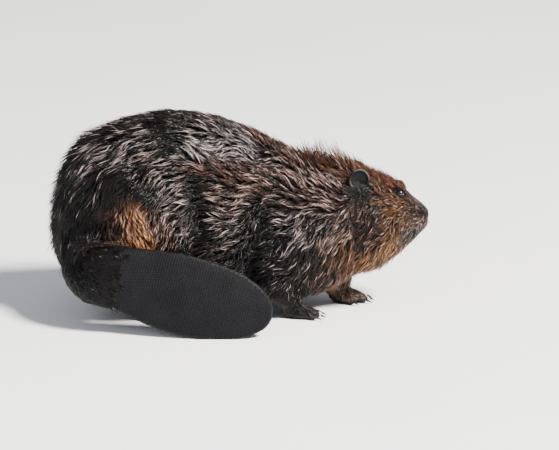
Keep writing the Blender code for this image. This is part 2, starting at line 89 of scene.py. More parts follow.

# Each row: place (x, y, z); the way the hair runs (x, y, z); its length and the coat's depth in
# millimetres; how far it draws into points; how far it stands out; the share of locks given a painted
# highlight, the pale glint of wet hair; its colour.
BOTH_SIDES = (
    # rump
    (-0.292, 0.000, 0.150, -0.15, 0.0, -1.0, 28, 6.5, 0.45, 0.38, 0.10, "soot"),
    (-0.275, 0.000, 0.215, -0.50, 0.0, -0.85, 30, 6.5, 0.45, 0.44, 0.15, "soot"),
    (-0.285, 0.030, 0.090, 0.00, 0.0, -1.0, 24, 5.5, 0.45, 0.3, 0.08, "soot"),
    (-0.263, 0.055, 0.197, -0.25, 0.0, -0.97, 32, 6.5, 0.30, 0.04, 0.12, "soot"),
    (-0.271, 0.060, 0.132, -0.10, 0.0, -1.0, 30, 6.0, 0.30, 0.04, 0.06, "soot"),
    (-0.250, 0.040, 0.065, 0.20, 0.0, -0.95, 22, 5.0, 0.30, 0.04, 0.05, "soot"),
    (-0.235, 0.000, 0.277, -0.80, 0.0, -0.6, 32, 7.0, 0.50, 0.42, 0.35, "soot"),
    (-0.239, 0.060, 0.243, -0.60, 0.0, -0.8, 32, 7.0, 0.40, 0.04, 0.42, "soot"),
    (-0.207, 0.065, 0.270, -0.75, 0.0, -0.65, 32, 7.0, 0.45, 0.04, 0.5, "soot"),
    (-0.235, 0.090, 0.205, -0.45, 0.0, -0.9, 30, 6.5, 0.35, 0.02, 0.15, "soot"),
    (-0.230, 0.105, 0.150, -0.20, 0.0, -1.0, 28, 6.0, 0.30, 0.02, 0.04, "soot"),
    # back
    (-0.175, 0.020, 0.305, -0.95, 0.0, -0.35, 32, 7.0, 0.45, 0.14, 0.20, "umber"),
    (-0.160, 0.070, 0.280, -0.80, 0.0, -0.5, 31, 7.0, 0.45, 0.03, 0.45, "soot"),
    (-0.103, 0.010, 0.318, -1.00, 0.0, -0.05, 30, 7.0, 0.50, 0.16, 0.15, "umber"),
    (-0.103, 0.060, 0.290, -0.80, 0.0, -0.5, 30, 6.5, 0.25, 0.00, 0.02, "soot"),
    (-0.065, 0.050, 0.294, -0.95, 0.0, -0.3, 28, 7.5, 0.75, 0.05, 0.60, "umber"),
    (-0.060, 0.078, 0.272, -0.75, 0.0, 0.45, 25, 7.5, 0.80, 0.05, 0.6, "silver_sheen"),
    (-0.031, 0.015, 0.310, -1.00, 0.0, 0.10, 30, 7.0, 0.60, 0.12, 0.35, "umber"),
    (-0.020, 0.060, 0.285, -0.80, 0.0, -0.5, 25, 7.5, 0.80, 0.05, 0.55, "silver_sheen"),
    (0.015, 0.050, 0.278, -0.90, 0.0, 0.1, 25, 7.5, 0.80, 0.05, 0.5, "silver_sheen"),
    (0.049, 0.020, 0.275, -0.90, 0.0, 0.40, 28, 7.5, 0.60, 0.18, 0.30, "rust"),
    (0.049, 0.055, 0.262, -0.85, 0.0, -0.3, 25, 7.5, 0.70, 0.05, 0.50, "umber"),
    (0.100, 0.020, 0.250, -0.85, 0.0, 0.45, 28, 7.5, 0.60, 0.25, 0.25, "rust"),
    (0.097, 0.060, 0.232, -0.85, 0.0, 0.50, 28, 7.5, 0.65, 0.05, 0.45, "rust"),
    # flank
    (-0.055, 0.098, 0.252, -0.90, 0.0, 0.30, 30, 7.5, 0.65, 0.05, 0.25, "rust"),
    (-0.010, 0.095, 0.243, -0.85, 0.0, 0.45, 30, 7.5, 0.65, 0.05, 0.25, "rust"),
    (0.035, 0.090, 0.236, -0.85, 0.0, 0.45, 30, 7.5, 0.65, 0.05, 0.35, "rust"),
    (-0.031, 0.112, 0.211, -0.97, 0.0, 0.20, 28, 7.5, 0.70, 0.03, 0.38, "brown"),
    (0.005, 0.110, 0.205, -0.97, 0.0, -0.1, 28, 7.5, 0.70, 0.03, 0.38, "brown"),
    (-0.035, 0.120, 0.175, -0.97, 0.0, -0.15, 25, 7.5, 0.70, 0.03, 0.4, "umber"),
    (-0.015, 0.120, 0.150, -0.97, 0.0, -0.2, 25, 7.5, 0.70, 0.03, 0.38, "umber"),
    (-0.010, 0.115, 0.100, -0.90, 0.0, -0.4, 25, 7.0, 0.50, 0.02, 0.15, "soot"),
    (0.035, 0.105, 0.180, -0.70, 0.0, -0.6, 22, 7.0, 0.50, 0.02, 0.10, "soot"),
    (0.032, 0.112, 0.140, -0.60, 0.0, -0.7, 22, 7.0, 0.50, 0.02, 0.05, "soot"),
    (0.030, 0.112, 0.080, -0.90, 0.0, -0.3, 25, 7.0, 0.50, 0.02, 0.08, "soot"),
    # the furrow ahead of the haunch, darkened as painted shade, and the fringe over it, paled as a painted
    # highlight
    (-0.068, 0.108, 0.232, -0.90, 0.0, -0.2, 28, 7.0, 0.40, 0.00, 0.05, "soot"),
    (-0.062, 0.118, 0.195, -0.90, 0.0, -0.2, 28, 7.0, 0.40, 0.00, 0.08, "soot"),
    (-0.058, 0.126, 0.160, -0.90, 0.0, -0.3, 28, 7.0, 0.40, 0.00, 0.10, "soot"),
    (-0.150, 0.085, 0.262, -0.85, 0.0, -0.55, 25, 7.5, 0.85, 0.08, 0.4, "umber"),
    (-0.122, 0.100, 0.242, -0.85, 0.0, -0.55, 28, 8.0, 0.95, 0.12, 0.55, "umber"),
    (-0.104, 0.112, 0.215, -0.85, 0.0, -0.5, 28, 8.0, 0.95, 0.12, 0.62, "umber"),
    (-0.092, 0.122, 0.188, -0.80, 0.0, -0.6, 25, 8.0, 0.90, 0.10, 0.42, "umber"),
    (-0.084, 0.130, 0.160, -0.75, 0.0, -0.65, 22, 7.5, 0.80, 0.06, 0.5, "umber"),
    # haunch
    (-0.175, 0.095, 0.225, -0.60, 0.0, -0.8, 28, 6.0, 0.30, 0.00, 0.04, "soot"),
    (-0.140, 0.112, 0.215, -0.60, 0.0, -0.8, 25, 6.0, 0.30, 0.00, 0.03, "soot"),
    (-0.200, 0.100, 0.200, -0.40, 0.0, -0.9, 28, 6.0, 0.30, 0.00, 0.03, "soot"),
    (-0.190, 0.108, 0.192, -0.10, 0.0, -1.0, 16, 7.0, 0.50, 0.10, 0.15, "brown"),
    (-0.180, 0.118, 0.180, 0.15, 0.0, -0.97, 16, 7.5, 0.40, 0.12, 0.35, "tawny"),
    (-0.165, 0.124, 0.168, 0.35, 0.0, -0.93, 16, 7.5, 0.40, 0.12, 0.45, "gold"),
    (-0.155, 0.130, 0.150, 0.45, 0.0, -0.88, 16, 7.5, 0.45, 0.12, 0.5, "gold"),
    (-0.150, 0.132, 0.136, 0.45, 0.0, -0.88, 20, 8.0, 0.50, 0.15, 0.25, "gold"),
    (-0.195, 0.118, 0.160, 0.10, 0.0, -1.0, 16, 7.0, 0.50, 0.05, 0.15, "brown"),
    (-0.132, 0.128, 0.175, -0.30, 0.0, -0.9, 16, 7.0, 0.60, 0.05, 0.40, "brown"),
    (-0.120, 0.134, 0.150, -0.40, 0.0, -0.85, 16, 7.0, 0.60, 0.05, 0.50, "brown"),
    (-0.130, 0.135, 0.110, -0.50, 0.0, -0.85, 22, 6.5, 0.40, 0.03, 0.10, "umber"),
    (-0.080, 0.130, 0.115, -0.60, 0.0, -0.8, 22, 6.5, 0.40, 0.03, 0.15, "umber"),
    (-0.060, 0.115, 0.060, -0.40, 0.0, -0.9, 14, 5.0, 0.40, 0.03, 0.05, "soot"),
    (-0.140, 0.110, 0.050, 0.10, 0.0, -1.0, 14, 4.5, 0.40, 0.03, 0.05, "soot"),
    # shoulder and side of the chest
    (0.070, 0.098, 0.205, -0.90, 0.0, 0.30, 28, 7.5, 0.70, 0.04, 0.42, "brown"),
    (0.100, 0.088, 0.205, -0.93, 0.0, 0.30, 28, 7.5, 0.70, 0.04, 0.45, "brown"),
    (0.081, 0.102, 0.170, -0.85, 0.0, -0.45, 25, 7.5, 0.70, 0.04, 0.38, "umber"),
    (0.081, 0.104, 0.133, -0.75, 0.0, -0.65, 28, 7.0, 0.80, 0.04, 0.32, "soot"),
    (0.110, 0.096, 0.150, -0.75, 0.0, -0.6, 28, 7.0, 0.80, 0.04, 0.32, "umber"),
    (0.129, 0.085, 0.156, -0.75, 0.0, -0.65, 25, 7.0, 0.80, 0.04, 0.32, "umber"),
    (0.065, 0.110, 0.093, -0.95, 0.0, -0.3, 25, 6.5, 0.60, 0.02, 0.20, "soot"),
    (0.110, 0.090, 0.100, -0.65, 0.0, -0.75, 28, 6.5, 0.80, 0.04, 0.28, "umber"),
    # neck and nape
    (0.145, 0.055, 0.219, -0.87, 0.0, 0.50, 25, 7.5, 0.65, 0.06, 0.45, "rust"),
    (0.125, 0.070, 0.200, -0.95, 0.0, 0.20, 25, 7.5, 0.70, 0.04, 0.48, "brown"),
    (0.150, 0.070, 0.187, -0.97, 0.0, 0.15, 25, 7.5, 0.70, 0.04, 0.55, "brown"),
    (0.125, 0.012, 0.244, -0.90, 0.0, 0.30, 30, 8.0, 0.65, 0.74, 0.15, "rust"),
    (0.150, 0.012, 0.243, -0.90, 0.0, 0.40, 32, 8.5, 0.65, 1.08, 0.12, "auburn"),
    (0.172, 0.012, 0.238, -0.95, 0.0, 0.30, 30, 7.5, 0.65, 1.01, 0.12, "auburn"),
    (0.165, 0.040, 0.232, -0.90, 0.0, 0.45, 25, 7.5, 0.60, 0.35, 0.20, "auburn"),
    (0.162, 0.068, 0.160, -0.70, 0.0, -0.6, 16, 6.5, 0.50, 0.03, 0.28, "brown"),
    (0.150, 0.074, 0.128, -0.60, 0.0, -0.75, 22, 6.5, 0.60, 0.05, 0.35, "fawn"),
    (0.166, 0.062, 0.115, -0.30, 0.0, -0.95, 25, 6.5, 0.75, 0.06, 0.45, "tawny"),
    # throat and front of the chest
    (0.177, 0.035, 0.078, -0.30, 0.0, -0.95, 25, 7.0, 0.60, 0.12, 0.30, "tawny"),
    (0.150, 0.030, 0.040, -0.45, 0.0, -0.9, 28, 7.0, 0.60, 0.15, 0.25, "tawny"),
    (0.165, 0.000, 0.055, -0.20, 0.0, -1.0, 28, 7.0, 0.60, 0.12, 0.25, "tawny"),
    (0.130, 0.045, 0.060, -0.55, 0.0, -0.85, 28, 6.5, 0.70, 0.08, 0.30, "brown"),
    # belly
    (0.080, 0.000, 0.034, -0.95, 0.0, -0.3, 22, 5.0, 0.40, 0.05, 0.05, "umber"),
    (0.000, 0.000, 0.036, -1.00, 0.0, 0.00, 22, 4.0, 0.40, 0.02, 0.05, "umber"),
    (-0.100, 0.000, 0.040, -1.00, 0.0, 0.00, 22, 4.0, 0.40, 0.02, 0.05, "umber"),
    (-0.200, 0.000, 0.045, -1.00, 0.0, 0.00, 22, 4.0, 0.40, 0.02, 0.05, "soot"),
    (0.010, 0.080, 0.050, -0.95, 0.0, -0.2, 22, 5.5, 0.40, 0.02, 0.05, "soot"),
    # head
    (0.195, 0.012, 0.229, -1.00, 0.0, 0.10, 20, 6.0, 0.55, 0.75, 0.15, "auburn"),
    (0.215, 0.015, 0.220, -0.98, 0.0, 0.10, 16, 5.0, 0.50, 0.55, 0.06, "auburn"),
    (0.233, 0.015, 0.211, -0.90, 0.0, 0.30, 14, 4.0, 0.55, 0.7, 0.10, "auburn"),
    (0.217, 0.040, 0.202, -0.93, 0.0, 0.30, 14, 4.5, 0.55, 0.10, 0.2, "auburn"),
    (0.240, 0.034, 0.203, -0.85, 0.2, 0.45, 13, 3.0, 0.55, 0.6, 0.25, "auburn"),
    (0.256, 0.020, 0.203, -0.90, 0.0, 0.35, 12, 2.2, 0.50, 0.7, 0.2, "auburn"),
    (0.258, 0.000, 0.200, -1.00, 0.0, 0.20, 9, 2.2, 0.30, 0.4, 0.08, "auburn"),
    (0.272, 0.010, 0.187, -0.90, 0.0, 0.45, 5, 1.6, 0.30, 0.03, 0.12, "brown"),
    (0.284, 0.008, 0.175, -0.85, 0.0, 0.50, 4, 1.0, 0.30, 0.02, 0.25, "brown"),
    (0.207, 0.046, 0.207, -0.50, 0.2, -0.85, 6, 2.5, 0.40, 0.00, 0.05, "umber"),
    (0.190, 0.052, 0.204, -0.80, 0.0, -0.60, 6, 2.5, 0.40, 0.00, 0.03, "soot"),
    (0.200, 0.045, 0.197, -0.90, 0.0, -0.1, 9, 4.5, 0.30, 0.00, 0.02, "soot"),
    (0.195, 0.060, 0.176, -0.80, 0.0, -0.5, 11, 5.0, 0.60, 0.06, 0.20, "brown"),
    (0.245, 0.042, 0.186, -0.90, 0.0, -0.20, 10, 2.6, 0.50, 0.08, 0.28, "tawny"),
    (0.228, 0.052, 0.186, -0.90, 0.0, -0.25, 13, 3.6, 0.55, 0.10, 0.22, "tawny"),
    (0.238, 0.054, 0.165, -0.80, 0.0, -0.5, 13, 4.4, 0.60, 0.12, 0.24, "tawny"),
    (0.255, 0.043, 0.165, -0.85, 0.0, -0.4, 10, 2.6, 0.55, 0.10, 0.26, "tawny"),
    (0.245, 0.050, 0.142, -0.60, 0.0, -0.75, 14, 4.6, 0.60, 0.12, 0.26, "tawny"),
    (0.212, 0.062, 0.172, -0.80, 0.0, -0.5, 14, 4.5, 0.60, 0.08, 0.16, "brown"),
    (0.208, 0.064, 0.145, -0.65, 0.0, -0.75, 17, 5.2, 0.70, 0.08, 0.26, "brown"),
    (0.195, 0.066, 0.120, -0.50, 0.0, -0.85, 22, 5.8, 0.75, 0.08, 0.34, "brown"),
    (0.205, 0.050, 0.095, -0.40, 0.0, -0.9, 24, 6.0, 0.75, 0.3, 0.42, "honey"),
    (0.225, 0.045, 0.108, -0.40, 0.0, -0.9, 20, 5.5, 0.70, 0.3, 0.4, "honey"),
    (0.243, 0.040, 0.118, -0.40, 0.0, -0.9, 16, 4.5, 0.60, 0.25, 0.34, "honey"),
    (0.235, 0.000, 0.082, -0.60, 0.0, -0.8, 24, 5.5, 0.70, 0.4, 0.3, "honey"),
    (0.265, 0.036, 0.150, -0.85, 0.0, -0.4, 8, 2.0, 0.50, 0.08, 0.3, "tawny"),
    (0.275, 0.030, 0.165, -0.95, 0.1, 0.10, 7, 1.5, 0.40, 0.05, 0.28, "brown"),
    (0.285, 0.026, 0.148, -0.80, 0.2, -0.50, 7, 1.5, 0.45, 0.08, 0.45, "brown"),
    (0.292, 0.012, 0.140, -0.30, 0.2, -0.90, 5, 1.1, 0.40, 0.05, 0.45, "brown"),
    (0.270, 0.030, 0.133, -0.70, 0.0, -0.6, 6, 1.6, 0.50, 0.10, 0.08, "umber"),
    (0.272, 0.010, 0.118, -0.60, 0.0, -0.75, 10, 2.2, 0.50, 0.3, 0.3, "fawn"),
    (0.258, 0.022, 0.108, -0.60, 0.0, -0.75, 14, 3.6, 0.55, 0.3, 0.3, "fawn"),
)
RIGHT_SIDE = (
    # tail root
    (-0.262, -0.080, 0.120, -0.10, -0.60, -0.80, 22, 5.0, 0.30, 0.03, 0.05, "soot"),
    (-0.262, -0.120, 0.080, 0.40, -0.50, -0.75, 15, 4.0, 0.30, 0.03, 0.05, "soot"),
    (-0.235, -0.155, 0.090, 0.80, -0.30, -0.50, 12, 3.0, 0.30, 0.03, 0.08, "soot"),
    (-0.205, -0.172, 0.100, 0.95, -0.10, -0.20, 9, 2.0, 0.30, 0.05, 0.03, "soot"),
    (-0.180, -0.168, 0.110, 0.95, -0.10, -0.20, 8, 1.5, 0.30, 0.03, 0.03, "soot"),
    (-0.182, -0.160, 0.138, 0.95, -0.10, -0.30, 8, 1.5, 0.30, 0.03, 0.03, "soot"),
    (-0.215, -0.150, 0.050, 0.90, 0.00, -0.30, 10, 2.5, 0.30, 0.03, 0.08, "soot"),
    (-0.200, -0.165, 0.140, 0.80, -0.20, -0.55, 9, 2.0, 0.30, 0.08, 0.12, "soot"),
    # near foreleg, which stands back
    (0.048, -0.105, 0.070, -0.60, 0.00, -0.80, 16, 5.5, 0.60, 0.03, 0.20, "soot"),
    (0.085, -0.095, 0.060, -0.55, 0.00, -0.85, 16, 5.0, 0.70, 0.04, 0.25, "umber"),
    (0.082, -0.086, 0.032, -0.10, 0.00, -1.00, 9, 2.5, 0.50, 0.03, 0.10, "soot"),
    (0.104, -0.066, 0.015, 0.70, 0.00, -0.70, 5, 0.9, 0.40, 0.02, 0.10, "soot"),
    (0.060, -0.080, 0.015, 0.00, 0.00, -1.00, 5, 1.2, 0.40, 0.02, 0.05, "soot"),
)
LEFT_SIDE = (
    # far foreleg, which reaches forward
    (0.110, 0.085, 0.070, -0.10, 0.00, -1.00, 14, 4.0, 0.60, 0.04, 0.25, "brown"),
    (0.140, 0.040, 0.062, 0.10, 0.00, -1.00, 12, 4.0, 0.60, 0.04, 0.35, "tawny"),
    (0.160, 0.020, 0.040, 0.35, 0.00, -0.93, 8, 2.2, 0.50, 0.04, 0.35, "fawn"),
    (0.180, 0.028, 0.018, 0.80, 0.00, -0.60, 5, 0.9, 0.40, 0.02, 0.25, "fawn"),
    (0.150, 0.030, 0.015, 0.00, 0.00, -1.00, 5, 1.2, 0.40, 0.02, 0.10, "brown"),
)
MM = 0.001
SOFTENING = 0.010  # how far a row's hold spreads before it falls away
FALL_AWAY = 3.0
POINTS_AT_ONCE = 20000
LIE, COLOUR = slice(0, 3), slice(8, 11)  # columns of the plan, as plan_arrays lays them out
LENGTH, DEPTH, DRAW, LIFT, GLINT_SHARE = 3, 4, 5, 6, 7


def plan_arrays():
    """Places of the plan's rows, and what they say: lie, length, depth, draw, lift, painted highlight
    share, colour.
    """
    rows = [*BOTH_SIDES, *RIGHT_SIDE, *LEFT_SIDE]
    rows += [(row[0], -row[1], row[2], row[3], -row[4], *row[5:]) for row in BOTH_SIDES]
    places = np.array([row[:3] for row in rows]) + ORIGIN_ROW
    said = [(*row[3:6], row[6] * MM, row[7] * MM, *row[8:11], *PELT[row[11]]) for row in rows]
    return places, np.array(said)


PLAN_PLACES, PLAN_SAID = plan_arrays()


def read_plan(points):
    """The plan at these points, each row weighted by its nearness."""
    said = np.empty((len(points), PLAN_SAID.shape[1]))
    for start in range(0, len(points), POINTS_AT_ONCE):
        some = points[start : start + POINTS_AT_ONCE]
        gap = ((some[:, None, :] - PLAN_PLACES[None]) ** 2).sum(2) + SOFTENING**2
        weight = gap**-FALL_AWAY
        said[start : start + POINTS_AT_ONCE] = weight @ PLAN_SAID / weight.sum(1, keepdims=True)
    return said


def ripple(points, size, seed, count=7):
    """A smooth uneven field between about -1 and 1, with bumps of this size."""
    draw = np.random.default_rng(seed)
    ways = draw.normal(size=(count, 3))
    ways /= np.linalg.norm(ways, axis=1, keepdims=True)
    rates = ways * (2 * math.pi / size) * draw.uniform(0.6, 1.5, (count, 1))
    return np.sin(points @ rates.T + draw.uniform(0, 2 * math.pi, count)).sum(1) * (1.4 / count**0.5) * 0.75


def unit(rows):
    return rows / np.maximum(np.linalg.norm(rows, axis=1, keepdims=True), 1e-9)


def smoothstep(low, high, value):
    """0 at low and 1 at high, easing between; low may be the greater."""
    share = np.clip((value - low) / (high - low), 0, 1)
    return share * share * (3 - 2 * share)


def bell(value, middle, width):
    """1 at the middle, falling away on both sides over this width."""
    return np.exp(-(((value - middle) / width) ** 2))


# ---------------------------------------------------------------- meshes


def deselect_all():
    for obj in bpy.context.selected_objects:
        obj.select_set(False)


def make_active(obj):
    deselect_all()
    obj.select_set(True)
    bpy.context.view_layer.objects.active = obj


def apply_all(obj):
    make_active(obj)
    for modifier in list(obj.modifiers):
        bpy.ops.object.modifier_apply(modifier=modifier.name)


def merged_copy(node):
    """A copy of a frame node's mesh with its loose triangles joined."""
    obj = bpy.data.objects.new(node + "_copy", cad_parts[node].data.copy())
    bpy.context.scene.collection.objects.link(obj)
    obj.data.materials.clear()
    make_active(obj)
    bpy.ops.object.mode_set(mode="EDIT")
    bpy.ops.mesh.select_all(action="SELECT")
    bpy.ops.mesh.remove_doubles(threshold=1e-5)
    bpy.ops.object.mode_set(mode="OBJECT")
    return obj


def coordinates(mesh):
    rows = np.empty(len(mesh.vertices) * 3)
    mesh.vertices.foreach_get("co", rows)
    return rows.reshape(-1, 3)


def set_coordinates(mesh, rows):
    mesh.vertices.foreach_set("co", rows.ravel())
    mesh.update()


def normals(mesh):
    rows = np.empty(len(mesh.vertices) * 3)
    mesh.vertices.foreach_get("normal", rows)
    return rows.reshape(-1, 3)


def triangles(mesh):
    mesh.calc_loop_triangles()
    rows = np.empty(len(mesh.loop_triangles) * 3, np.int32)
    mesh.loop_triangles.foreach_get("vertices", rows)
    return rows.reshape(-1, 3)


def relax(mesh, rounds, share):
    """Moves each vertex towards its neighbours' mean, by share of the way (one number for each vertex)."""
    edges = np.empty(len(mesh.edges) * 2, np.int32)
    mesh.edges.foreach_get("vertices", edges)
    first, second = edges.reshape(-1, 2).T
    ends = np.concatenate((first, second))
    others = np.concatenate((second, first))
    place = coordinates(mesh)
    count = np.bincount(ends, minlength=len(place))
    for _ in range(rounds):
        mean = np.stack([np.bincount(ends, place[others, axis], len(place)) for axis in range(3)], 1)
        place += (mean / count[:, None] - place) * share[:, None]
    set_coordinates(mesh, place)


def mesh_of(name, places, faces, corners=3):
    """An object made of equal-sided faces."""
    mesh = bpy.data.meshes.new(name)
    mesh.vertices.add(len(places))
    mesh.vertices.foreach_set("co", np.asarray(places, np.float32).ravel())
    mesh.loops.add(faces.size)
    mesh.loops.foreach_set("vertex_index", faces.astype(np.int32).ravel())
    mesh.polygons.add(len(faces))
    mesh.polygons.foreach_set("loop_start", np.arange(0, faces.size, corners, dtype=np.int32))
    mesh.update(calc_edges=True)
    mesh.validate()
    obj = bpy.data.objects.new(name, mesh)
    bpy.context.scene.collection.objects.link(obj)
    return obj


def paint(obj, name, colours):
    """A colour for each vertex."""
    layer = obj.data.attributes.new(name, "FLOAT_COLOR", "POINT")
    rows = np.ones((len(colours), 4), np.float32)
    rows[:, :3] = colours
    layer.data.foreach_set("color", rows.ravel())


# ---------------------------------------------------------------- materials


def new_material(name, roughness, shine=0.5):
    """(material, its node tree, its shader)."""
    material = bpy.data.materials.new(name)
    material.use_nodes = True
    tree = material.node_tree
    shader = tree.nodes["Principled BSDF"]
    shader.inputs["Roughness"].default_value = roughness
    shader.inputs["Specular IOR Level"].default_value = shine
    return material, tree, shader


def add_node(tree, kind, **settings):
    node = tree.nodes.new(kind)
    for key, value in settings.items():
        if key in node.inputs:
            node.inputs[key].default_value = value
        else:
            setattr(node, key, value)
    return node


def noise_of(tree, scale, detail=2.0):
    place = add_node(tree, "ShaderNodeTexCoord")
    noise = add_node(tree, "ShaderNodeTexNoise")
    noise.inputs["Scale"].default_value = scale
    noise.inputs["Detail"].default_value = detail
    tree.links.new(place.outputs["Object"], noise.inputs["Vector"])
    return noise.outputs["Fac"]


def ramp_of(tree, value, stops):
    """A colour ramp from (position, colour) stops."""
    ramp = add_node(tree, "ShaderNodeValToRGB")
    while len(ramp.color_ramp.elements) < len(stops):
        ramp.color_ramp.elements.new(0.5)
    for element, (position, colour) in zip(ramp.color_ramp.elements, stops):
        element.position = position
        element.color = (*colour, 1.0)
    tree.links.new(value, ramp.inputs["Fac"])
    return ramp.outputs["Color"]


def product_of(tree, first, second):
    mix = add_node(tree, "ShaderNodeMix", data_type="RGBA", blend_type="MULTIPLY")
    mix.inputs[0].default_value = 1.0
    tree.links.new(first, mix.inputs[6])
    tree.links.new(second, mix.inputs[7])
    return mix.outputs[2]


def bump_of(tree, height, distance, strength=1.0):
    bump = add_node(tree, "ShaderNodeBump")
    bump.inputs["Distance"].default_value = distance
    bump.inputs["Strength"].default_value = strength
    tree.links.new(height, bump.inputs["Height"])
    return bump.outputs["Normal"]


def wet_fur():
    """Hair in the colours of the pelt, slick with water."""
    material, tree, shader = new_material("wet_fur", 0.36, 0.15)
    colour = add_node(tree, "ShaderNodeAttribute", attribute_name="pelt")
    grain = ramp_of(tree, noise_of(tree, 420.0), ((0.3, (0.75,) * 3), (0.7, (1.2,) * 3)))
    tree.links.new(product_of(tree, colour.outputs["Color"], grain), shader.inputs["Base Color"])
    shader.inputs["Coat Weight"].default_value = 0.28
    shader.inputs["Coat Roughness"].default_value = 0.20
    return material


def hide():
    """Skin under the coat, and the bare leather of nose, lids, soles and toes."""
    material, tree, shader = new_material("hide", 0.52, 0.12)
    colour = add_node(tree, "ShaderNodeAttribute", attribute_name="pelt")
    grain = ramp_of(tree, noise_of(tree, 900.0, 4.0), ((0.3, (0.7,) * 3), (0.7, (1.2,) * 3)))
    tree.links.new(product_of(tree, colour.outputs["Color"], grain), shader.inputs["Base Color"])
    tree.links.new(bump_of(tree, noise_of(tree, 1400.0, 3.0), 0.0004), shader.inputs["Normal"])
    return material


def scale_horn():
    """The tail's matt, nearly black scales."""
    material, tree, shader = new_material("scale_horn", 0.52, 0.06)
    stops = ((0.3, (0.0040, 0.0040, 0.0050)), (0.75, (0.0080, 0.0078, 0.0098)))
    tone = ramp_of(tree, noise_of(tree, 28.0, 3.0), stops)
    grain = ramp_of(tree, noise_of(tree, 700.0), ((0.35, (0.7,) * 3), (0.7, (1.25,) * 3)))
    tree.links.new(product_of(tree, tone, grain), shader.inputs["Base Color"])
    tree.links.new(bump_of(tree, noise_of(tree, 1800.0), 0.0003), shader.inputs["Normal"])
    return material


def claw_horn():
    """Dark horn, paler in streaks."""
    material, tree, shader = new_material("claw_horn", 0.55, 0.10)
    stops = ((0.3, (0.006, 0.0045, 0.004)), (0.75, (0.022, 0.015, 0.011)))
    tree.links.new(ramp_of(tree, noise_of(tree, 260.0, 3.0), stops), shader.inputs["Base Color"])
    tree.links.new(bump_of(tree, noise_of(tree, 900.0), 0.0003), shader.inputs["Normal"])
    return material


def eye_gloss():
    """A near-black wet eye, a little brown in places."""
    material, tree, shader = new_material("eye_gloss", 0.06, 0.5)
    stops = ((0.3, (0.002, 0.0015, 0.0015)), (0.8, (0.007, 0.004, 0.003)))
    tree.links.new(ramp_of(tree, noise_of(tree, 500.0), stops), shader.inputs["Base Color"])
    return material


def whisker_hair():
    """Stiff grey-brown hair."""
    material, tree, shader = new_material("whisker_hair", 0.35)
    stops = ((0.3, (0.07, 0.06, 0.055)), (0.7, (0.20, 0.18, 0.16)))
    tree.links.new(ramp_of(tree, noise_of(tree, 120.0), stops), shader.inputs["Base Color"])
    return material


def ear_leather():
    """Nearly black leather, with the painted highlight on its rim that its paint carries."""
    material, tree, shader = new_material("ear_leather", 0.5, 0.15)
    colour = add_node(tree, "ShaderNodeAttribute", attribute_name="pelt")
    grain = ramp_of(tree, noise_of(tree, 180.0, 3.0), ((0.3, (0.6,) * 3), (0.75, (1.3,) * 3)))
    tree.links.new(product_of(tree, colour.outputs["Color"], grain), shader.inputs["Base Color"])
    tree.links.new(bump_of(tree, noise_of(tree, 1200.0, 3.0), 0.0004), shader.inputs["Normal"])
    return material


def finish_piece(obj, material, slot, *nodes):
    """Gives a piece its material and its place in the frame, and hides the nodes it stands for."""
    obj.data.materials.clear()
    obj.data.materials.append(material)
    obj.data.shade_smooth()
    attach(obj, "root")
    if nodes:
        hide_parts(*nodes)
    return obj


# ---------------------------------------------------------------- skin

FLESH = (
    "trunk", "neck", "head", "nose", "thigh_right", "thigh_left", "foreleg_right", "foreleg_left",
    "forepaw_right", "forepaw_left", "hind_foot_right", "hind_foot_left", "tail_root", "tail_paddle",
)
SKIN_VOXEL = 0.0032
HEAD_FROM, FACE_FROM = 0.168, 0.238  # ahead of these the skin's mesh is finer
CARVED_FROM = 0.235  # the carving of the face starts here
UNDER_SKIN = 0.14  # the skin's colour beside its coat's: darker, partly its own and partly painted shade in the gaps between tufts
BARE_LEATHER, BARE_SCALES = np.array((0.012, 0.010, 0.011)), np.array((0.004, 0.0038, 0.0045))

EYE_RADIUS = 0.0066
EYE_OUTWARD, EYE_FORWARD = (0.30, 0.80, 0.42), (0.90, 0.0, -0.30)  # for the left eye
LID_HALF_LENGTH, LID_HALF_HEIGHT, LID_THICKNESS = 0.0068, 0.0052, 0.0013
LID_REACH, LID_CREASE, EYE_SOCKET = 0.018, 0.0012, -0.002

NOSE_PAD = (0.3010, 0.0, 0.1590)
NOSE_PAD_RADII, NOSE_SWELL = (0.0135, 0.0165, 0.0145), 0.0009
NOSTRIL = (0.2985, 0.0088, 0.1560)
NOSTRIL_RADII, NOSTRIL_DEPTH, NOSTRIL_RIM = (0.0044, 0.0030, 0.0026), 0.0038, 0.0009
MOUTH = (
    (0.2990, 0.0000, 0.1330),
    (0.2935, 0.0120, 0.1310),
    (0.2830, 0.0230, 0.1310),
    (0.2730, 0.0305, 0.1370),
)
MOUTH_DEPTH, MOUTH_WIDTH, LIP_HEIGHT, LIP_OFF, LIP_WIDTH = 0.0030, 0.0016, 0.0010, 0.0045, 0.0022
PHILTRUM = ((0.3010, 0.0, 0.1450), (0.2990, 0.0, 0.1330))
PHILTRUM_DEPTH, PHILTRUM_WIDTH = 0.0015, 0.0013
UNDER_EAR, UNDER_EAR_RADII = (0.190, 0.050, 0.205), (0.016, 0.020, 0.010)
NOSE_SIDE, NOSE_SIDE_RADII = (0.290, 0.018, 0.160), (0.010, 0.010, 0.010)

PADDLE_START, PADDLE_TIP = np.array((-0.178, -0.160, 0.089)), np.array((0.056, -0.181, 0.036))
PADDLE_HALF_WIDTH, PADDLE_FIRST_HALF_WIDTH, PADDLE_WIDEST = 0.0660, 0.0530, 0.37
PADDLE_BOW, PADDLE_LEAN = 0.010, math.radians(10)
PADDLE_REACH = 0.0125  # how far the paddle's skin lies from its middle
SCALES_FROM_X, SCALES_SLANT, SCALES_SLANT_FROM_Z = -0.1920, 0.21, 0.085
SCALES_END_X, SCALES_RAGGED, SCALES_RAGGED_SIZE, SCALES_BLEND = 0.07, 0.005, 0.022, 0.003

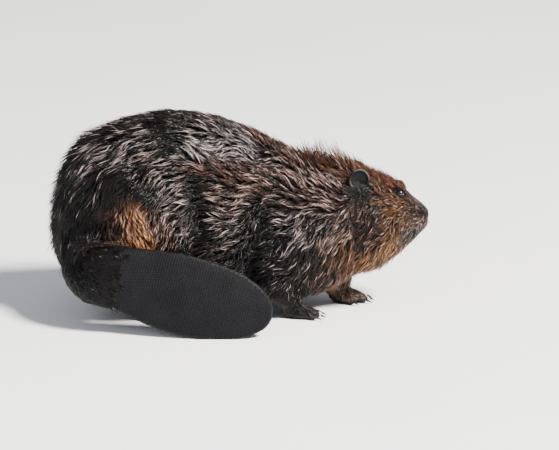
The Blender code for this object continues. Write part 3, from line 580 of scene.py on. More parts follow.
FOLDS = (  # depth, x, the height z of that x, lean, width, z where it starts and ends, how far out
    (0.0045, 0.180, 0.150, 0.06, 0.007, (0.085, 0.115), (0.195, 0.215), (0.035, 0.055)),  # neck
    (0.0075, 0.030, 0.160, 0.20, 0.013, (0.050, 0.080), (0.190, 0.225), (0.060, 0.085)),  # shoulder
    (0.0060, -0.066, 0.200, -0.10, 0.011, (0.120, 0.150), (0.235, 0.260), (0.070, 0.090)),  # haunch
)
LEDGE_DEPTH, LEDGE_X, LEDGE_Z, LEDGE_SLOPE = 0.0040, -0.150, 0.262, 1.30  # under the rump's pale fan
LEDGE_BACK_X, LEDGE_FRONT_X = -0.215, -0.07


def distance_to_path(points, path):
    """Distance from each point to a run of straight stretches."""
    nearest = np.full(len(points), 1.0)
    for start, end in zip(path, path[1:]):
        start, run = np.array(start), np.array(end) - np.array(start)
        share = np.clip((points - start) @ run / (run @ run), 0, 1)
        nearest = np.minimum(nearest, np.linalg.norm(points - start - share[:, None] * run, axis=1))
    return nearest


def folded(body):
    """The same places, with the right side's laid over the left."""
    return body * (1, 0, 1) + np.abs(body) * (0, 1, 0)


def paddle_share_of(body):
    """1 on the scaly paddle and 0 on fur, for places in the body's own frame."""
    edge = SCALES_FROM_X + (body[:, 2] - SCALES_SLANT_FROM_Z) * SCALES_SLANT
    edge = edge + SCALES_RAGGED * ripple(body, SCALES_RAGGED_SIZE, 71)
    share = np.clip((body[:, 0] - PADDLE_START[0]) / (PADDLE_TIP[0] - PADDLE_START[0]), 0, 1)
    middle = PADDLE_START + share[:, None] * (PADDLE_TIP - PADDLE_START)
    middle_y = middle[:, 1] - PADDLE_BOW * np.sin(math.pi * share)
    middle_y += (body[:, 2] - middle[:, 2]) * math.tan(PADDLE_LEAN)
    beside = (body[:, 1] < middle_y + PADDLE_REACH) * (body[:, 0] < SCALES_END_X)
    return smoothstep(-SCALES_BLEND, SCALES_BLEND, body[:, 0] - edge) * beside


def eye_frame(side):
    """(centre, forward, up, outward) of an eye in the body's own frame."""
    sign = -1 if side == "right" else 1
    centre = np.array(EYE_CENTRES[side]) - ORIGIN_ROW
    outward = unit(np.array([EYE_OUTWARD]) * (1, sign, 1))[0]
    forward = np.array(EYE_FORWARD)
    forward = unit((forward - outward * (forward @ outward))[None])[0]
    up = np.cross(outward, forward)
    return centre, forward, up * np.sign(up[2]), outward


def lids(body):
    """(moved places, bare share) after the lids close round the eyes."""
    bare = np.zeros(len(body))
    for side in EYE_CENTRES:
        centre, forward, up, outward = eye_frame(side)
        near = np.where(np.linalg.norm(body - centre, axis=1) < LID_REACH)[0]
        offset = body[near] - centre
        ahead, above, out = offset @ forward, offset @ up, offset @ outward
        reach = np.sqrt((ahead / LID_HALF_LENGTH) ** 2 + (above / LID_HALF_HEIGHT) ** 2)
        across = ahead**2 + above**2
        shell = np.sqrt(np.maximum((EYE_RADIUS + LID_THICKNESS) ** 2 - across, 0))
        opening = reach < 1.0
        target = np.where(opening, EYE_SOCKET, np.maximum(out, shell))
        hold = np.where(opening, 1.0, 1 - smoothstep(1.15, 1.9, reach))
        crease = -LID_CREASE * bell(reach, 1.75, 0.22)
        body[near] += outward * ((target - out) * hold + crease)[:, None]
        bare[near] = np.maximum(bare[near], 1 - smoothstep(1.25, 1.55, reach))
    return body, bare


def dim_of(points):
    """How much light the coat keeps round the mouth and eyes, below the ears and beside the nose."""
    body = folded(points - ORIGIN_ROW)
    eye = np.abs(np.array(EYE_CENTRES["right"]) - ORIGIN_ROW)
    gap = np.linalg.norm(body - eye, axis=1)
    dim = 1 - 0.80 * bell(distance_to_path(body, MOUTH), 0, 0.0050)
    dim *= 1 - 0.60 * bell(gap, 0.0080, 0.0022)
    under_ear = np.linalg.norm((body - UNDER_EAR) / UNDER_EAR_RADII, axis=1)
    dim *= 1 - 0.75 * (1 - smoothstep(0.7, 1.3, under_ear))
    nose_side = np.linalg.norm((body - NOSE_SIDE) / NOSE_SIDE_RADII, axis=1)
    return dim * (1 - 0.45 * (1 - smoothstep(0.6, 1.3, nose_side)))


def carve_face(body, normal):
    """(moved places, bare share, how far off the nostrils are) with nose, mouth and lids cut in."""
    left = folded(body)
    pad = np.linalg.norm((body - NOSE_PAD) / NOSE_PAD_RADII, axis=1)
    bare = 1 - smoothstep(0.92, 1.06, pad)
    body = body + normal * (NOSE_SWELL * (1 - smoothstep(0.80, 1.02, pad)) * (body[:, 0] > 0.28))[:, None]
    hole = np.linalg.norm((left - NOSTRIL) / NOSTRIL_RADII, axis=1)
    body -= normal * (NOSTRIL_DEPTH * (1 - smoothstep(0.35, 1.0, hole)))[:, None]
    body += normal * (NOSTRIL_RIM * bell(hole, 1.35, 0.3) * (pad < 1.1))[:, None]
    slit = distance_to_path(left, MOUTH)
    body -= normal * (MOUTH_DEPTH * bell(slit, 0, MOUTH_WIDTH))[:, None]
    body += normal * (LIP_HEIGHT * bell(slit, LIP_OFF, LIP_WIDTH) * (body[:, 0] > 0.26))[:, None]
    cleft = distance_to_path(left, PHILTRUM)
    body -= normal * (PHILTRUM_DEPTH * bell(cleft, 0, PHILTRUM_WIDTH))[:, None]
    bare = np.maximum(bare, 0.9 * bell(slit, 0, LIP_WIDTH))
    body, lid_bare = lids(body)
    return body, np.maximum(bare, lid_bare), hole


def furrows(body):
    """How far the skin sinks in the folds of neck, shoulder and haunch, and below the ledge."""
    x, y, z = body.T
    side = np.abs(y)
    sunk = np.zeros(len(body))
    for depth, middle, height, lean, width, start, end, beside in FOLDS:
        fold = depth * bell(x, middle + (z - height) * lean, width)
        sunk += fold * smoothstep(*start, z) * (1 - smoothstep(*end, z)) * smoothstep(*beside, side)
    below = (z - LEDGE_Z) + (x - LEDGE_X) * LEDGE_SLOPE
    ledge = LEDGE_DEPTH * smoothstep(0.0, -0.016, below) * smoothstep(-0.060, -0.030, below)
    ledge *= smoothstep(0.06, 0.09, side) * (x < LEDGE_FRONT_X) * (x > LEDGE_BACK_X)
    return (sunk + ledge) * (1 - paddle_share_of(body))


def joined_flesh():
    """The flesh nodes as one closed skin of even squares."""
    copies = [merged_copy(node) for node in FLESH]
    deselect_all()
    for obj in copies:
        obj.select_set(True)
    bpy.context.view_layer.objects.active = copies[0]
    bpy.ops.object.join()
    skin = copies[0]
    skin.name = "skin"
    remesh = skin.modifiers.new("remesh", "REMESH")
    remesh.mode = "VOXEL"
    remesh.voxel_size = SKIN_VOXEL
    apply_all(skin)
    return skin


def smooth_joins(mesh):
    """Softens the joins between the flesh nodes, least on feet, face and tail."""
    body = coordinates(mesh) - ORIGIN_ROW
    fine = 1 - smoothstep(0.028, 0.050, body[:, 2])
    fine = np.maximum(fine, smoothstep(0.22, 0.25, body[:, 0]))
    fine = np.maximum(fine, (body[:, 1] < -0.125) * 0.8)
    relax(mesh, 4, np.full(len(body), 0.5))
    relax(mesh, 24, 0.5 * (1 - fine))


def make_finer(skin, limit):
    """Halves the skin's squares ahead of this x, and softens them."""
    make_active(skin)
    mesh = skin.data
    centre = np.empty(len(mesh.polygons) * 3)
    mesh.polygons.foreach_get("center", centre)
    mesh.polygons.foreach_set("select", centre.reshape(-1, 3)[:, 0] > limit + ORIGIN.x)
    bpy.ops.object.mode_set(mode="EDIT")
    bpy.ops.mesh.select_mode(type="FACE")
    bpy.ops.mesh.subdivide(number_cuts=1)
    bpy.ops.object.mode_set(mode="OBJECT")
    body = coordinates(skin.data) - ORIGIN_ROW
    relax(skin.data, 4, 0.5 * smoothstep(limit - 0.004, limit + 0.002, body[:, 0]))


def coat_depth_at(place):
    """How deep the skin lies under its coat: not at all on the scales and the soles."""
    body = place - ORIGIN_ROW
    depth = read_plan(place)[:, DEPTH]
    depth *= 1 - paddle_share_of(body)
    hind_foot = (body[:, 2] < 0.030) & (body[:, 0] < 0.02)
    depth = np.where(hind_foot, depth * smoothstep(0.012, 0.030, body[:, 2]), depth)
    return depth * smoothstep(0.0, 0.012, body[:, 2])


def paint_skin(skin, bare, holes):
    """The coat's own markings, darker, with leather where it is bare and painted shade, near black, in the
    nostrils.
    """
    place = coordinates(skin.data)
    pelt = read_plan(place)[:, COLOUR] * UNDER_SKIN * dim_of(place)[:, None]
    pelt = pelt * (1 - bare[:, None]) + BARE_LEATHER * bare[:, None]
    # painted shade: near black deep in the nostrils
    pelt *= (0.25 + 0.75 * smoothstep(0.6, 1.1, holes))[:, None]
    scaly = paddle_share_of(place - ORIGIN_ROW)[:, None]
    paint(skin, "pelt", pelt * (1 - scaly) + BARE_SCALES * scaly)


def make_skin():
    """(skin, its bare share at each vertex)."""
    skin = joined_flesh()
    smooth_joins(skin.data)
    for limit in (HEAD_FROM, FACE_FROM):
        make_finer(skin, limit)
    mesh = skin.data
    place, normal = coordinates(mesh), normals(mesh)
    body = place - ORIGIN_ROW
    body -= normal * (coat_depth_at(place) + furrows(body))[:, None]
    face = body[:, 0] > CARVED_FROM
    bare = np.zeros(len(body))
    holes = np.full(len(body), 9.0)
    body[face], bare[face], holes[face] = carve_face(body[face], normal[face])
    x, y, z = body.T
    hind_feet = (z < 0.026) & (x < 0.02) & (x > -0.19) & (np.abs(y) < 0.135)
    soles = z < 0.008
    bare = np.maximum(bare, (hind_feet | soles) * 1.0)
    set_coordinates(mesh, body + ORIGIN_ROW)
    paint_skin(skin, bare, holes)
    finish_piece(skin, hide(), "coat_dark", *FLESH)
    return skin, bare


# ---------------------------------------------------------------- coat

TUFT_LENGTHS, TUFT_WIDTHS = (0.004, 0.010, 0.024), (0.0007, 0.0011, 0.0013)  # wider where it is long
WIDTH_AT_RINGS = (0.60, 1.0, 0.90, 0.55)  # root to tip
RIDGE = 1.1  # height of a tuft's back beside its half width
CLUMP_STEPS = 4
CLUMP_SPACING = 0.24  # share of the hair's length
DRAW_IN = np.array((0.0, 0.25, 0.60, 0.85, 0.93))  # how far a tuft has drawn in to its clump, root to tip
RISE = np.array((-0.10, 0.55, 0.88, 0.98, 0.92))  # height over the skin, as a share of the coat's depth
CURL = 0.07  # share of the hair's length
STRAYS, STRAY_DRAW, STRAY_LIFT, STRAY_STRETCH = 0.07, 0.3, 0.22, 0.12
CLUMP_TONES, TUFT_TONES, PATCHY_TONES = 0.35, 0.35, 0.20  # how unevenly light they are
ROOT_SHADE, TIP_SHADE = 0.06, 1.15
COVER = 3.6  # layers of tufts over each place
MOST_TUFTS = 63000
EAR_CLEARING = (0.0155, 0.016, 0.0185)  # no tuft grows this near an ear's middle
EAR_BASE = 0.007  # unless it is lower by this
PATCH = 0.003  # side of a tuft's patch on the bake map
CELL_MARGIN, CELL_FILL = 0.01, 0.97


class Hide:
    """The skin's triangles, ready to be sown and followed."""

    def __init__(self, skin, bare):
        mesh = skin.data
        self.place = coordinates(mesh)
        self.normal = normals(mesh)
        self.faces = triangles(mesh)
        self.bare = bare
        corners = self.place[self.faces]
        first, second = corners[:, 1] - corners[:, 0], corners[:, 2] - corners[:, 0]
        self.area = np.linalg.norm(np.cross(first, second), axis=1) / 2
        self.middle = corners.mean(1)
        self.face_normal = unit(self.normal[self.faces].mean(1))
        self.tree = BVHTree.FromPolygons(self.place.tolist(), self.faces.tolist(), all_triangles=True)

    def sow(self, density, seed):
        """(places, normals) of roots, spread evenly at each triangle's own number to the square metre."""
        draw = np.random.default_rng(seed)
        share = np.cumsum(self.area * density)
        count = int(share[-1])
        picks = np.searchsorted(share, (np.arange(count) + draw.uniform(0, 1, count)) * share[-1] / count)
        a, b = draw.uniform(0, 1, (2, count))
        flip = a + b > 1
        a, b = np.where(flip, 1 - a, a), np.where(flip, 1 - b, b)
        weight = np.stack((1 - a - b, a, b), 1)[:, :, None]
        corners = self.faces[picks]
        return (self.place[corners] * weight).sum(1), unit((self.normal[corners] * weight).sum(1))

    def nearest(self, points):
        """(places, normals) on the skin nearest to these points."""
        places, normal = np.empty_like(points), np.empty_like(points)
        for i, point in enumerate(points.tolist()):
            found, _, index, _ = self.tree.find_nearest(point)
            places[i] = found
            normal[i] = self.face_normal[index]
        return places, normal


def lie_of(points, normal, said):
    """The way the hair runs at these points, along the skin."""
    lie = said[:, LIE] - normal * (said[:, LIE] * normal).sum(1, keepdims=True)
    weak = np.linalg.norm(lie, axis=1) < 0.15
    back = np.array((-1.0, 0.0, -0.2))
    lie[weak] += (back - normal[weak] * (normal[weak] @ back)[:, None]) * 0.5
    lie = unit(lie)
    wild = 0.25 + 0.75 * said[:, DRAW]
    angle = wild * (0.42 * ripple(points, 0.055, 11) + 0.30 * ripple(points, 0.017, 12))
    across = np.cross(normal, lie)
    return lie * np.cos(angle)[:, None] + across * np.sin(angle)[:, None]


def furred(hide_of, body):
    """True where the coat grows, for each triangle."""
    grows = hide_of.bare[hide_of.faces].max(1) < 0.35
    grows &= paddle_share_of(body) < 0.5
    grows &= body[:, 2] > 0.010
    for centre in EAR_PLACES.values():
        clear = np.linalg.norm((body - centre) / EAR_CLEARING, axis=1) > 1.0
        grows &= clear | (body[:, 2] < centre[2] - EAR_BASE)
    return grows


def clumps(hide_of, said, grows):
    """Roots, paths, path normals and lengths of the clumps' middle hairs."""
    density = grows / (CLUMP_SPACING * said[:, LENGTH]) ** 2
    root, normal = hide_of.sow(density, 21)
    length = read_plan(root)[:, LENGTH] * np.random.default_rng(22).uniform(0.85, 1.15, len(root))
    paths, path_normals = [root], [normal]
    place = root
    for _ in range(CLUMP_STEPS):
        way = lie_of(place, normal, read_plan(place))
        place, normal = hide_of.nearest(place + way * (length / CLUMP_STEPS)[:, None])
        paths.append(place)
        path_normals.append(normal)
    return root, np.stack(paths, 1), np.stack(path_normals, 1), length


def nearest_of(points, places):
    """The number of the place nearest to each point."""
    tree = KDTree(len(places))
    for i, place in enumerate(places.tolist()):
        tree.insert(place, i)
    tree.balance()
    return np.array([tree.find(point)[1] for point in points.tolist()])


def tufts(hide_of):
    """Paths, widths, normals, roots, root normals and colours of every tuft of the coat."""
    said = read_plan(hide_of.middle)
    grows = furred(hide_of, hide_of.middle - ORIGIN_ROW)
    clump_root, clump_path, clump_normal, clump_length = clumps(hide_of, said, grows)
    density = grows * COVER / (said[:, LENGTH] * tuft_width(said[:, LENGTH]))
    total = (density * hide_of.area).sum()
    density *= min(1.0, MOST_TUFTS / total)
    root, normal = hide_of.sow(density, 31)
    plan = read_plan(root)
    owner = nearest_of(root, clump_root)
    draw = np.random.default_rng(32)
    count = len(root)
    stray = draw.uniform(0, 1, count) < STRAYS
    stretch = draw.uniform(0.72, 1.18, count) * (1 + STRAY_STRETCH * stray)
    strength = plan[:, DRAW] * draw.uniform(0.95, 1.25, count) * np.where(stray, STRAY_DRAW, 1.0)
    # along its clump's path, drawing in to it
    path = clump_path[owner]
    along = path - path[:, :1]
    along = along * (plan[:, LENGTH] / clump_length[owner])[:, None, None] * stretch[:, None, None]
    offset = root - path[:, 0]
    keep = 1 - np.clip(DRAW_IN[None] * strength[:, None], 0, 0.97)
    spine = path[:, :1] + along + offset[:, None] * keep[:, :, None]
    way = unit(along[:, -1])
    up = clump_normal[owner]
    up = up + (normal - clump_normal[owner][:, 0])[:, None]
    up /= np.linalg.norm(up, axis=2, keepdims=True)
    across = np.cross(normal, way)
    curl = draw.uniform(-1, 1, count) * plan[:, LENGTH] * CURL
    sway = np.sin(np.linspace(0, 1.6 * math.pi, CLUMP_STEPS + 1))[None] * curl[:, None]
    spine = spine + across[:, None] * sway[:, :, None]
    # up from the skin, by the coat's depth and the hair's lift
    clump_height = np.random.default_rng(34).uniform(0.70, 1.12, len(clump_root))[owner]
    height = plan[:, DEPTH] * clump_height * (1 + draw.uniform(-0.20, 0.15, count))
    share = np.linspace(0, 1, CLUMP_STEPS + 1)
    lift = (plan[:, LIFT] + STRAY_LIFT * stray * draw.uniform(0, 1, count)) * plan[:, LENGTH]
    lift = lift * draw.uniform(0.35, 1.35, count)
    rise = RISE[None] * height[:, None] + lift[:, None] * share[None] ** 1.6
    spine = spine + up * rise[:, :, None]
    width = tuft_width(plan[:, LENGTH]) * draw.uniform(0.75, 1.25, count)
    # its colour is read where its middle shows, and low tufts lie in the others' shade
    seen = spine[:, CLUMP_STEPS // 2]
    colour = tuft_colours(seen, root, owner, len(clump_root), draw) * dim_of(seen)[:, None]
    colour *= (0.35 + 0.85 * smoothstep(0.55, 1.20, height / plan[:, DEPTH]))[:, None]
    return spine, width, up, root, normal, colour


def tuft_colours(seen, root, owner, clump_count, draw):
    """The plan's colours with uneven tones, and some whole clumps and single tufts given a painted
    highlight, the pale glint of wet hair.
    """
    count = len(root)
    said = read_plan(seen)
    clump_draw = np.random.default_rng(33)
    clump_tone = clump_draw.normal(0, CLUMP_TONES, clump_count)[owner]
    clump_glint = clump_draw.uniform(0, 1, clump_count)[owner]
    tone = np.exp(clump_tone + draw.normal(0, TUFT_TONES, count) + PATCHY_TONES * ripple(root, 0.03, 41))
    colour = said[:, COLOUR] * tone[:, None]
    # painted highlight: whole clumps and single tufts mixed towards the pale glint colour
    luck = 0.45 * clump_glint + 0.55 * draw.uniform(0, 1, count)
    pale = smoothstep(0.06, -0.06, luck - said[:, GLINT_SHARE] * 0.79)
    pale = pale * draw.uniform(0.25, 1.0, count)
    warmth = 0.52 + 0.48 * colour / colour.max(1, keepdims=True)
    return colour + (PAINTED_GLINT * warmth - colour) * (0.75 * pale)[:, None]


def tuft_width(length):
    return np.interp(length, TUFT_LENGTHS, TUFT_WIDTHS)


def tuft_faces(rings):
    """Triangles of one closed three-sided spike, as vertex numbers."""
    faces = [(0, 2, 1)]
    for ring in range(rings - 1):
        for side in range(3):
            a, b = ring * 3 + side, ring * 3 + (side + 1) % 3
            faces += [(a, b, b + 3), (a, b + 3, a + 3)]
    last, tip = (rings - 1) * 3, rings * 3
    faces += [(last + side, last + (side + 1) % 3, tip) for side in range(3)]
    return np.array(faces)


def unwrap(root, normal):
    """Places on the bake map: the skin seen from six sides, each in a cell of its own."""
    axis = np.abs(normal).argmax(1)
    facing = np.take_along_axis(normal, axis[:, None], 1)[:, 0] > 0
    low, high = root.min(0), root.max(0)
    share = CELL_MARGIN + CELL_FILL * (root - low) / max(high - low)
    first, second = np.array((1, 0, 0))[axis], np.array((2, 2, 1))[axis]
    rows = np.arange(len(root))
    cell = axis * 2 + facing
    u = (cell % 3 + share[rows, first]) / 3
    v = (cell // 3 + share[rows, second]) / 2
    return np.stack((u, v), 1)


def build_coat(name, chosen, made, material, slot):
    """One piece of the coat from the chosen tufts."""
    spine, width, up, root, normal, colour = (part[chosen] for part in made)
    count = len(root)
    rings = CLUMP_STEPS
    run = np.gradient(spine, axis=1)
    run /= np.maximum(np.linalg.norm(run, axis=2, keepdims=True), 1e-9)
    across = np.cross(up, run)
    across /= np.maximum(np.linalg.norm(across, axis=2, keepdims=True), 1e-9)
    ridge = np.cross(run, across)
    half = width[:, None, None] * np.array(WIDTH_AT_RINGS)[None, :, None] / 2
    vertices = rings * 3 + 1
    places = np.empty((count, vertices, 3))
    places[:, 0:-1:3] = spine[:, :rings] - across[:, :rings] * half
    places[:, 1:-1:3] = spine[:, :rings] + across[:, :rings] * half
    places[:, 2:-1:3] = spine[:, :rings] + ridge[:, :rings] * half * RIDGE
    places[:, -1] = spine[:, -1]
    faces = (tuft_faces(rings)[None] + (np.arange(count) * vertices)[:, None, None]).reshape(-1, 3)
    obj = mesh_of(name, places.reshape(-1, 3), faces)
    share = np.append(np.repeat(np.arange(rings) / rings, 3), 1.0)
    shade = ROOT_SHADE + (TIP_SHADE - ROOT_SHADE) * smoothstep(0.10, 0.85, share)
    paint(obj, "pelt", (colour[:, None] * shade[None, :, None]).reshape(-1, 3))
    corner = unwrap(root, normal)
    spot = np.stack((np.append(np.tile((0.0, 1.0, 0.5), rings), 0.5), share), 1) * PATCH
    per_vertex = (corner[:, None] + spot[None]).reshape(-1, 2)
    layer = obj.data.uv_layers.new(name="OFBake")
    loops = np.empty(len(obj.data.loops), np.int32)
    obj.data.loops.foreach_get("vertex_index", loops)
    layer.data.foreach_set("uv", per_vertex[loops].astype(np.float32).ravel())
    finish_piece(obj, material, slot)


COAT_PIECES = (  # name, from and to along X, slot
    ("coat_rump", -1.000, -0.205, "coat_dark"),
    ("coat_hips", -0.205, -0.130, "coat_dark"),
    ("coat_back", -0.130, -0.055, "coat_dark"),
    ("coat_flank", -0.055, 0.030, "coat_dark"),
    ("coat_shoulder", 0.030, 0.110, "coat_brown"),
    ("coat_neck", 0.110, 0.178, "coat_brown"),
    ("coat_crown", 0.178, 0.222, "coat_gold"),
    ("coat_cheek", 0.222, 0.252, "coat_gold"),
    ("coat_muzzle", 0.252, 1.000, "coat_gold"),
)


def make_coat(hide_of):
    """The coat in pieces from rump to muzzle, right and left."""
    made = tufts(hide_of)
    body = made[3] - ORIGIN_ROW
    material = wet_fur()
    for name, start, end, slot in COAT_PIECES:
        within = (body[:, 0] >= start) & (body[:, 0] < end)
        for side, chosen in (("right", body[:, 1] < 0), ("left", body[:, 1] >= 0)):
            build_coat(f"{name}_{side}", np.where(within & chosen)[0], made, material, slot)


# ---------------------------------------------------------------- eyes, ears, claws and whiskers


def add_sphere(name, centre, radii, segments, rings):
    deselect_all()
    bpy.ops.mesh.primitive_uv_sphere_add(segments=segments, ring_count=rings, radius=1.0, location=centre)
    obj = bpy.context.object
    obj.name = name
    obj.scale = radii
    return obj


def apply_place(obj):
    make_active(obj)
    bpy.ops.object.transform_apply(location=True, rotation=True, scale=True)


def make_eyes():
    material = eye_gloss()
    for side, centre in EYE_CENTRES.items():
        eye = add_sphere("eyeball_" + side, centre, (EYE_RADIUS,) * 3, 48, 24)
        apply_place(eye)
        finish_piece(eye, material, "eye", "eye_" + side)


EAR_PLACES = {"right": (0.1905, -0.0495, 0.2235), "left": (0.1860, 0.0460, 0.2120)}
EAR_TURNS = {"right": (16, -18, 10), "left": (-48, -30, -10)}  # degrees; the left one is laid back
# the ear's dark leather, and the pale colour of the painted highlight along its rim
EAR_DARK, EAR_RIM_GLINT = np.array((0.0060, 0.0055, 0.0065)), np.array((0.110, 0.095, 0.090))
EAR_RADII, EAR_WALL, EAR_CUT, EAR_BEVEL = (0.0162, 0.0085, 0.0195), 0.0016, 0.0022, 0.0007


def make_ears():
    """Thin rounded cups, open outwards, with a painted highlight on the rim in front above and behind
    below.
    """
    material = ear_leather()
    for sign, side in ((-1, "right"), (1, "left")):
        ear = add_sphere("ear_cup_" + side, (0, 0, 0), EAR_RADII, 40, 20)
        apply_place(ear)
        plane = (0, sign * EAR_CUT, 0)
        bpy.ops.object.mode_set(mode="EDIT")
        bpy.ops.mesh.select_all(action="SELECT")
        bpy.ops.mesh.bisect(plane_co=plane, plane_no=(0, sign, 0), clear_outer=True, clear_inner=False)
        bpy.ops.object.mode_set(mode="OBJECT")
        solidify = ear.modifiers.new("wall", "SOLIDIFY")
        solidify.thickness = EAR_WALL
        solidify.offset = -1.0
        bevel = ear.modifiers.new("rim", "BEVEL")
        bevel.width = EAR_BEVEL
        bevel.segments = 2
        bevel.limit_method = "ANGLE"
        apply_all(ear)
        local = coordinates(ear.data)
        # painted highlight: the rim pale in front above and behind below
        rim = 1 - smoothstep(0.0003, 0.0012, np.abs(local[:, 1] - sign * EAR_CUT))
        slant = np.abs(local[:, 0] / EAR_RADII[0] + local[:, 2] / EAR_RADII[2]) / 1.41
        rim *= smoothstep(0.2, 0.9, slant)
        paint(ear, "pelt", EAR_DARK + (EAR_RIM_GLINT - EAR_DARK) * rim[:, None])
        ear.rotation_euler = [math.radians(angle) for angle in EAR_TURNS[side]]
        ear.location = at(*EAR_PLACES[side])
        apply_place(ear)
        finish_piece(ear, material, "bare_skin", "ear_" + side)


def make_claws():
    """Each claw is its frame node, rounded."""
    material = claw_horn()
    for node in [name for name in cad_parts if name.startswith("claw_")]:
        claw = merged_copy(node)
        claw.name = node + "_horn"
        smooth = claw.modifiers.new("round", "SUBSURF")
        smooth.levels = 2
        smooth.render_levels = 2
        apply_all(claw)
        finish_piece(claw, material, "claw", node)


WHISKERS_A_SIDE, WHISKER_COLUMNS = 15, 5
WHISKER_ROOT, WHISKER_PITCH = (0.2890, 0.0195, 0.1500), (-0.0038, 0.0022, -0.0045)
WHISKER_RADIUS, WHISKER_SIDES, WHISKER_RINGS = 0.00036, 5, 8
WHISKER_SAG = np.array((-0.4, 0, -0.55)) * 0.6


def make_whiskers():
    """Tapered, drooping hairs from the pads beside the nose."""
    draw = np.random.default_rng(51)
    places, faces = [], []
    for sign in (-1, 1):
        for number in range(WHISKERS_A_SIDE):
            row, column = divmod(number, WHISKER_COLUMNS)
            root = np.array(WHISKER_ROOT) + np.array(WHISKER_PITCH) * (column, column, row)
            root = root * (1, sign, 1) + draw.uniform(-0.001, 0.001, 3) + ORIGIN_ROW
            length = 0.024 + 0.010 * draw.uniform() + column * 0.003
            way = np.array((0.25 - 0.30 * column, sign * 0.85, -0.35 - 0.1 * row))
            way = way + draw.uniform(-0.15, 0.15, 3)
            way /= np.linalg.norm(way)
            side = np.cross(way, (0, 0, 1))
            side /= np.linalg.norm(side)
            up = np.cross(side, way)
            start = len(places)
            for ring in range(WHISKER_RINGS):
                share = ring / (WHISKER_RINGS - 1)
                middle = root + way * length * share + WHISKER_SAG * length * share**2
                radius = WHISKER_RADIUS * (1 - 0.85 * share)
                for turn in range(WHISKER_SIDES):
                    angle = 2 * math.pi * turn / WHISKER_SIDES
                    places.append(middle + radius * (side * math.cos(angle) + up * math.sin(angle)))
            for ring in range(WHISKER_RINGS - 1):
                for turn in range(WHISKER_SIDES):
                    a = start + ring * WHISKER_SIDES + turn
                    b = start + ring * WHISKER_SIDES + (turn + 1) % WHISKER_SIDES
                    faces += [(a, b, b + WHISKER_SIDES), (a, b + WHISKER_SIDES, a + WHISKER_SIDES)]
            tip = start + (WHISKER_RINGS - 1) * WHISKER_SIDES
            faces += [(start, start + turn + 1, start + turn) for turn in range(1, WHISKER_SIDES - 1)]
            faces += [(tip, tip + turn, tip + turn + 1) for turn in range(1, WHISKER_SIDES - 1)]
    obj = mesh_of("whiskers", np.array(places), np.array(faces))
    make_active(obj)
    bpy.ops.object.mode_set(mode="EDIT")
    bpy.ops.mesh.select_all(action="SELECT")
    bpy.ops.mesh.normals_make_consistent(inside=False)
    bpy.ops.object.mode_set(mode="OBJECT")
    finish_piece(obj, whisker_hair(), "coat_gold")


# ---------------------------------------------------------------- the tail's scales

SCALE_LENGTH, SCALE_WIDTH, SCALE_HEIGHT, SCALE_SINK = 0.0040, 0.0037, 0.00028, 0.0004
SCALE_SPREAD, SCALE_TOP, SCALE_SHOULDER = 0.56, 0.78, 0.75  # the rim's reach, its upper ring's, and height
SCALE_SIDES, ROWS_ON_THE_ROOT, SEARCH_OUT = 6, 10, 0.012


def paddle_half_width(share):
    if share < PADDLE_WIDEST:
        first = PADDLE_FIRST_HALF_WIDTH / PADDLE_HALF_WIDTH
        return PADDLE_HALF_WIDTH * (first + (1 - first) * math.sin(math.pi / 2 * share / PADDLE_WIDEST))
    beyond = (share - PADDLE_WIDEST) / (1 - PADDLE_WIDEST)
    return PADDLE_HALF_WIDTH * math.sqrt(max(0.0, 1 - beyond**2.4))


def scale_places(hide_of):
    """(places, normals, the tail's run) of the scales, in staggered rows on both faces of the paddle."""
    length = np.linalg.norm(PADDLE_TIP - PADDLE_START)
    run = (PADDLE_TIP - PADDLE_START) / length
    upright = np.array((0.0, math.sin(PADDLE_LEAN), math.cos(PADDLE_LEAN)))
    across = upright - run * (upright @ run)
    across /= np.linalg.norm(across)
    out = np.cross(run, across)
    spots = []
    rows = int(length / SCALE_LENGTH)
    for row in range(-ROWS_ON_THE_ROOT, rows):
        share = row / rows
        half = paddle_half_width(max(share, 0.0))
        bow = PADDLE_BOW * math.sin(math.pi * max(share, 0.0))
        middle = PADDLE_START + run * length * share - np.array((0, bow, 0))
        for column in range(int(2 * half / SCALE_WIDTH)):
            offset = -half + SCALE_WIDTH * (column + 0.25 + 0.5 * (row % 2))
            for face in (-1, 1):
                spots.append(middle + across * offset + out * face * SEARCH_OUT)
    place, normal = hide_of.nearest(np.array(spots) + ORIGIN_ROW)
    keep = paddle_share_of(place - ORIGIN_ROW) > 0.6
    return place[keep], normal[keep], run


def make_scales(hide_of):
    """Small low plates over the paddle."""
    place, normal, run = scale_places(hide_of)
    count = len(place)
    way = unit(run - normal * (normal @ run)[:, None])
    side = np.cross(normal, way)
    size = np.random.default_rng(61).uniform(0.90, 1.08, count)[:, None]
    sides = SCALE_SIDES
    verts = np.empty((count, 2 * sides + 2, 3))
    for k in range(sides):
        angle = 2 * math.pi * (k + 0.5) / sides
        rim = way * (math.cos(angle) * SCALE_LENGTH * SCALE_SPREAD)
        rim = (rim + side * (math.sin(angle) * SCALE_WIDTH * SCALE_SPREAD)) * size
        verts[:, k] = place + rim - normal * SCALE_SINK
        verts[:, sides + k] = place + rim * SCALE_TOP + normal * SCALE_HEIGHT * SCALE_SHOULDER
    top, bottom = 2 * sides, 2 * sides + 1
    verts[:, top] = place + normal * SCALE_HEIGHT
    verts[:, bottom] = place - normal * SCALE_SINK
    faces = []
    for k in range(sides):
        j = (k + 1) % sides
        faces += [(k, j, sides + j), (k, sides + j, sides + k), (sides + k, sides + j, top), (j, k, bottom)]
    faces = (np.array(faces)[None] + (np.arange(count) * len(verts[0]))[:, None, None]).reshape(-1, 3)
    obj = mesh_of("tail_scales", verts.reshape(-1, 3), faces)
    finish_piece(obj, scale_horn(), "scales")


# ---------------------------------------------------------------- floor, light and camera

VIEW_MIDDLE = Vector((0.0606, 0.0554, 0.1283))  # what the middle of the picture looks at
VIEW_DOWN = math.radians(15)
VIEW_WIDTH = 0.8944  # metres across the picture at that place
CAMERA_DISTANCE, SENSOR_WIDTH = 12.0, 36.0


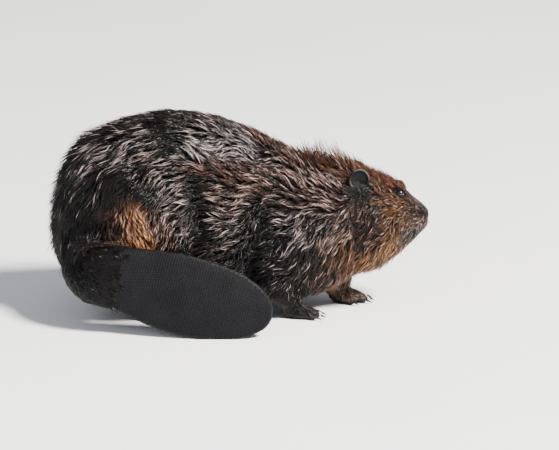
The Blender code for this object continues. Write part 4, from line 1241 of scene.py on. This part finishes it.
def make_camera():
    data = bpy.data.cameras.new("camera")
    camera = bpy.data.objects.new("camera", data)
    bpy.context.scene.collection.objects.link(camera)
    data.sensor_width = SENSOR_WIDTH
    data.lens = SENSOR_WIDTH * CAMERA_DISTANCE / VIEW_WIDTH
    away = Vector((0, -math.cos(VIEW_DOWN), math.sin(VIEW_DOWN)))
    camera.location = VIEW_MIDDLE + away * CAMERA_DISTANCE
    camera.rotation_euler = (math.pi / 2 - VIEW_DOWN, 0, 0)
    bpy.context.scene.camera = camera


def add_light(name, way, distance, size, energy, colour):
    data = bpy.data.lights.new(name, "AREA")
    data.shape = "DISK"
    data.size = size
    data.energy = energy
    data.color = colour
    light = bpy.data.objects.new(name, data)
    bpy.context.scene.collection.objects.link(light)
    way = Vector(way).normalized()
    light.location = Vector((0, 0, 0.12)) + way * distance
    light.rotation_euler = way.to_track_quat("Z", "Y").to_euler()


def make_surroundings():
    """A pale floor, a broad warm light high in front to the right, a cool fill and an even room."""
    deselect_all()
    bpy.ops.mesh.primitive_plane_add(size=30.0, location=(0, 0, 0))
    floor = bpy.context.object
    floor.name = "floor"
    material, tree, shader = new_material("pale_floor", 0.8)
    tone = ramp_of(tree, noise_of(tree, 3.0), ((0.3, (0.90, 0.90, 0.91)), (0.7, (0.93, 0.93, 0.94))))
    tree.links.new(tone, shader.inputs["Base Color"])
    floor.data.materials.append(material)
    add_light("key", (0.55, -0.42, 0.72), distance=7.0, size=1.7, energy=2300.0, colour=(1.0, 0.96, 0.90))
    add_light("fill", (-0.6, -0.6, 0.5), distance=3.0, size=2.0, energy=25.0, colour=(0.92, 0.95, 1.0))
    world = bpy.data.worlds.new("room")
    world.use_nodes = True
    background = world.node_tree.nodes["Background"]
    background.inputs["Color"].default_value = (0.90, 0.93, 1.0, 1.0)
    background.inputs["Strength"].default_value = 0.45
    bpy.context.scene.world = world


# ---------------------------------------------------------------- everything

make_camera()
make_surroundings()
skin, bare = make_skin()
hide_of_skin = Hide(skin, bare)
make_scales(hide_of_skin)
make_coat(hide_of_skin)
make_eyes()
make_ears()
make_claws()
make_whiskers()
bpy.context.view_layer.update()
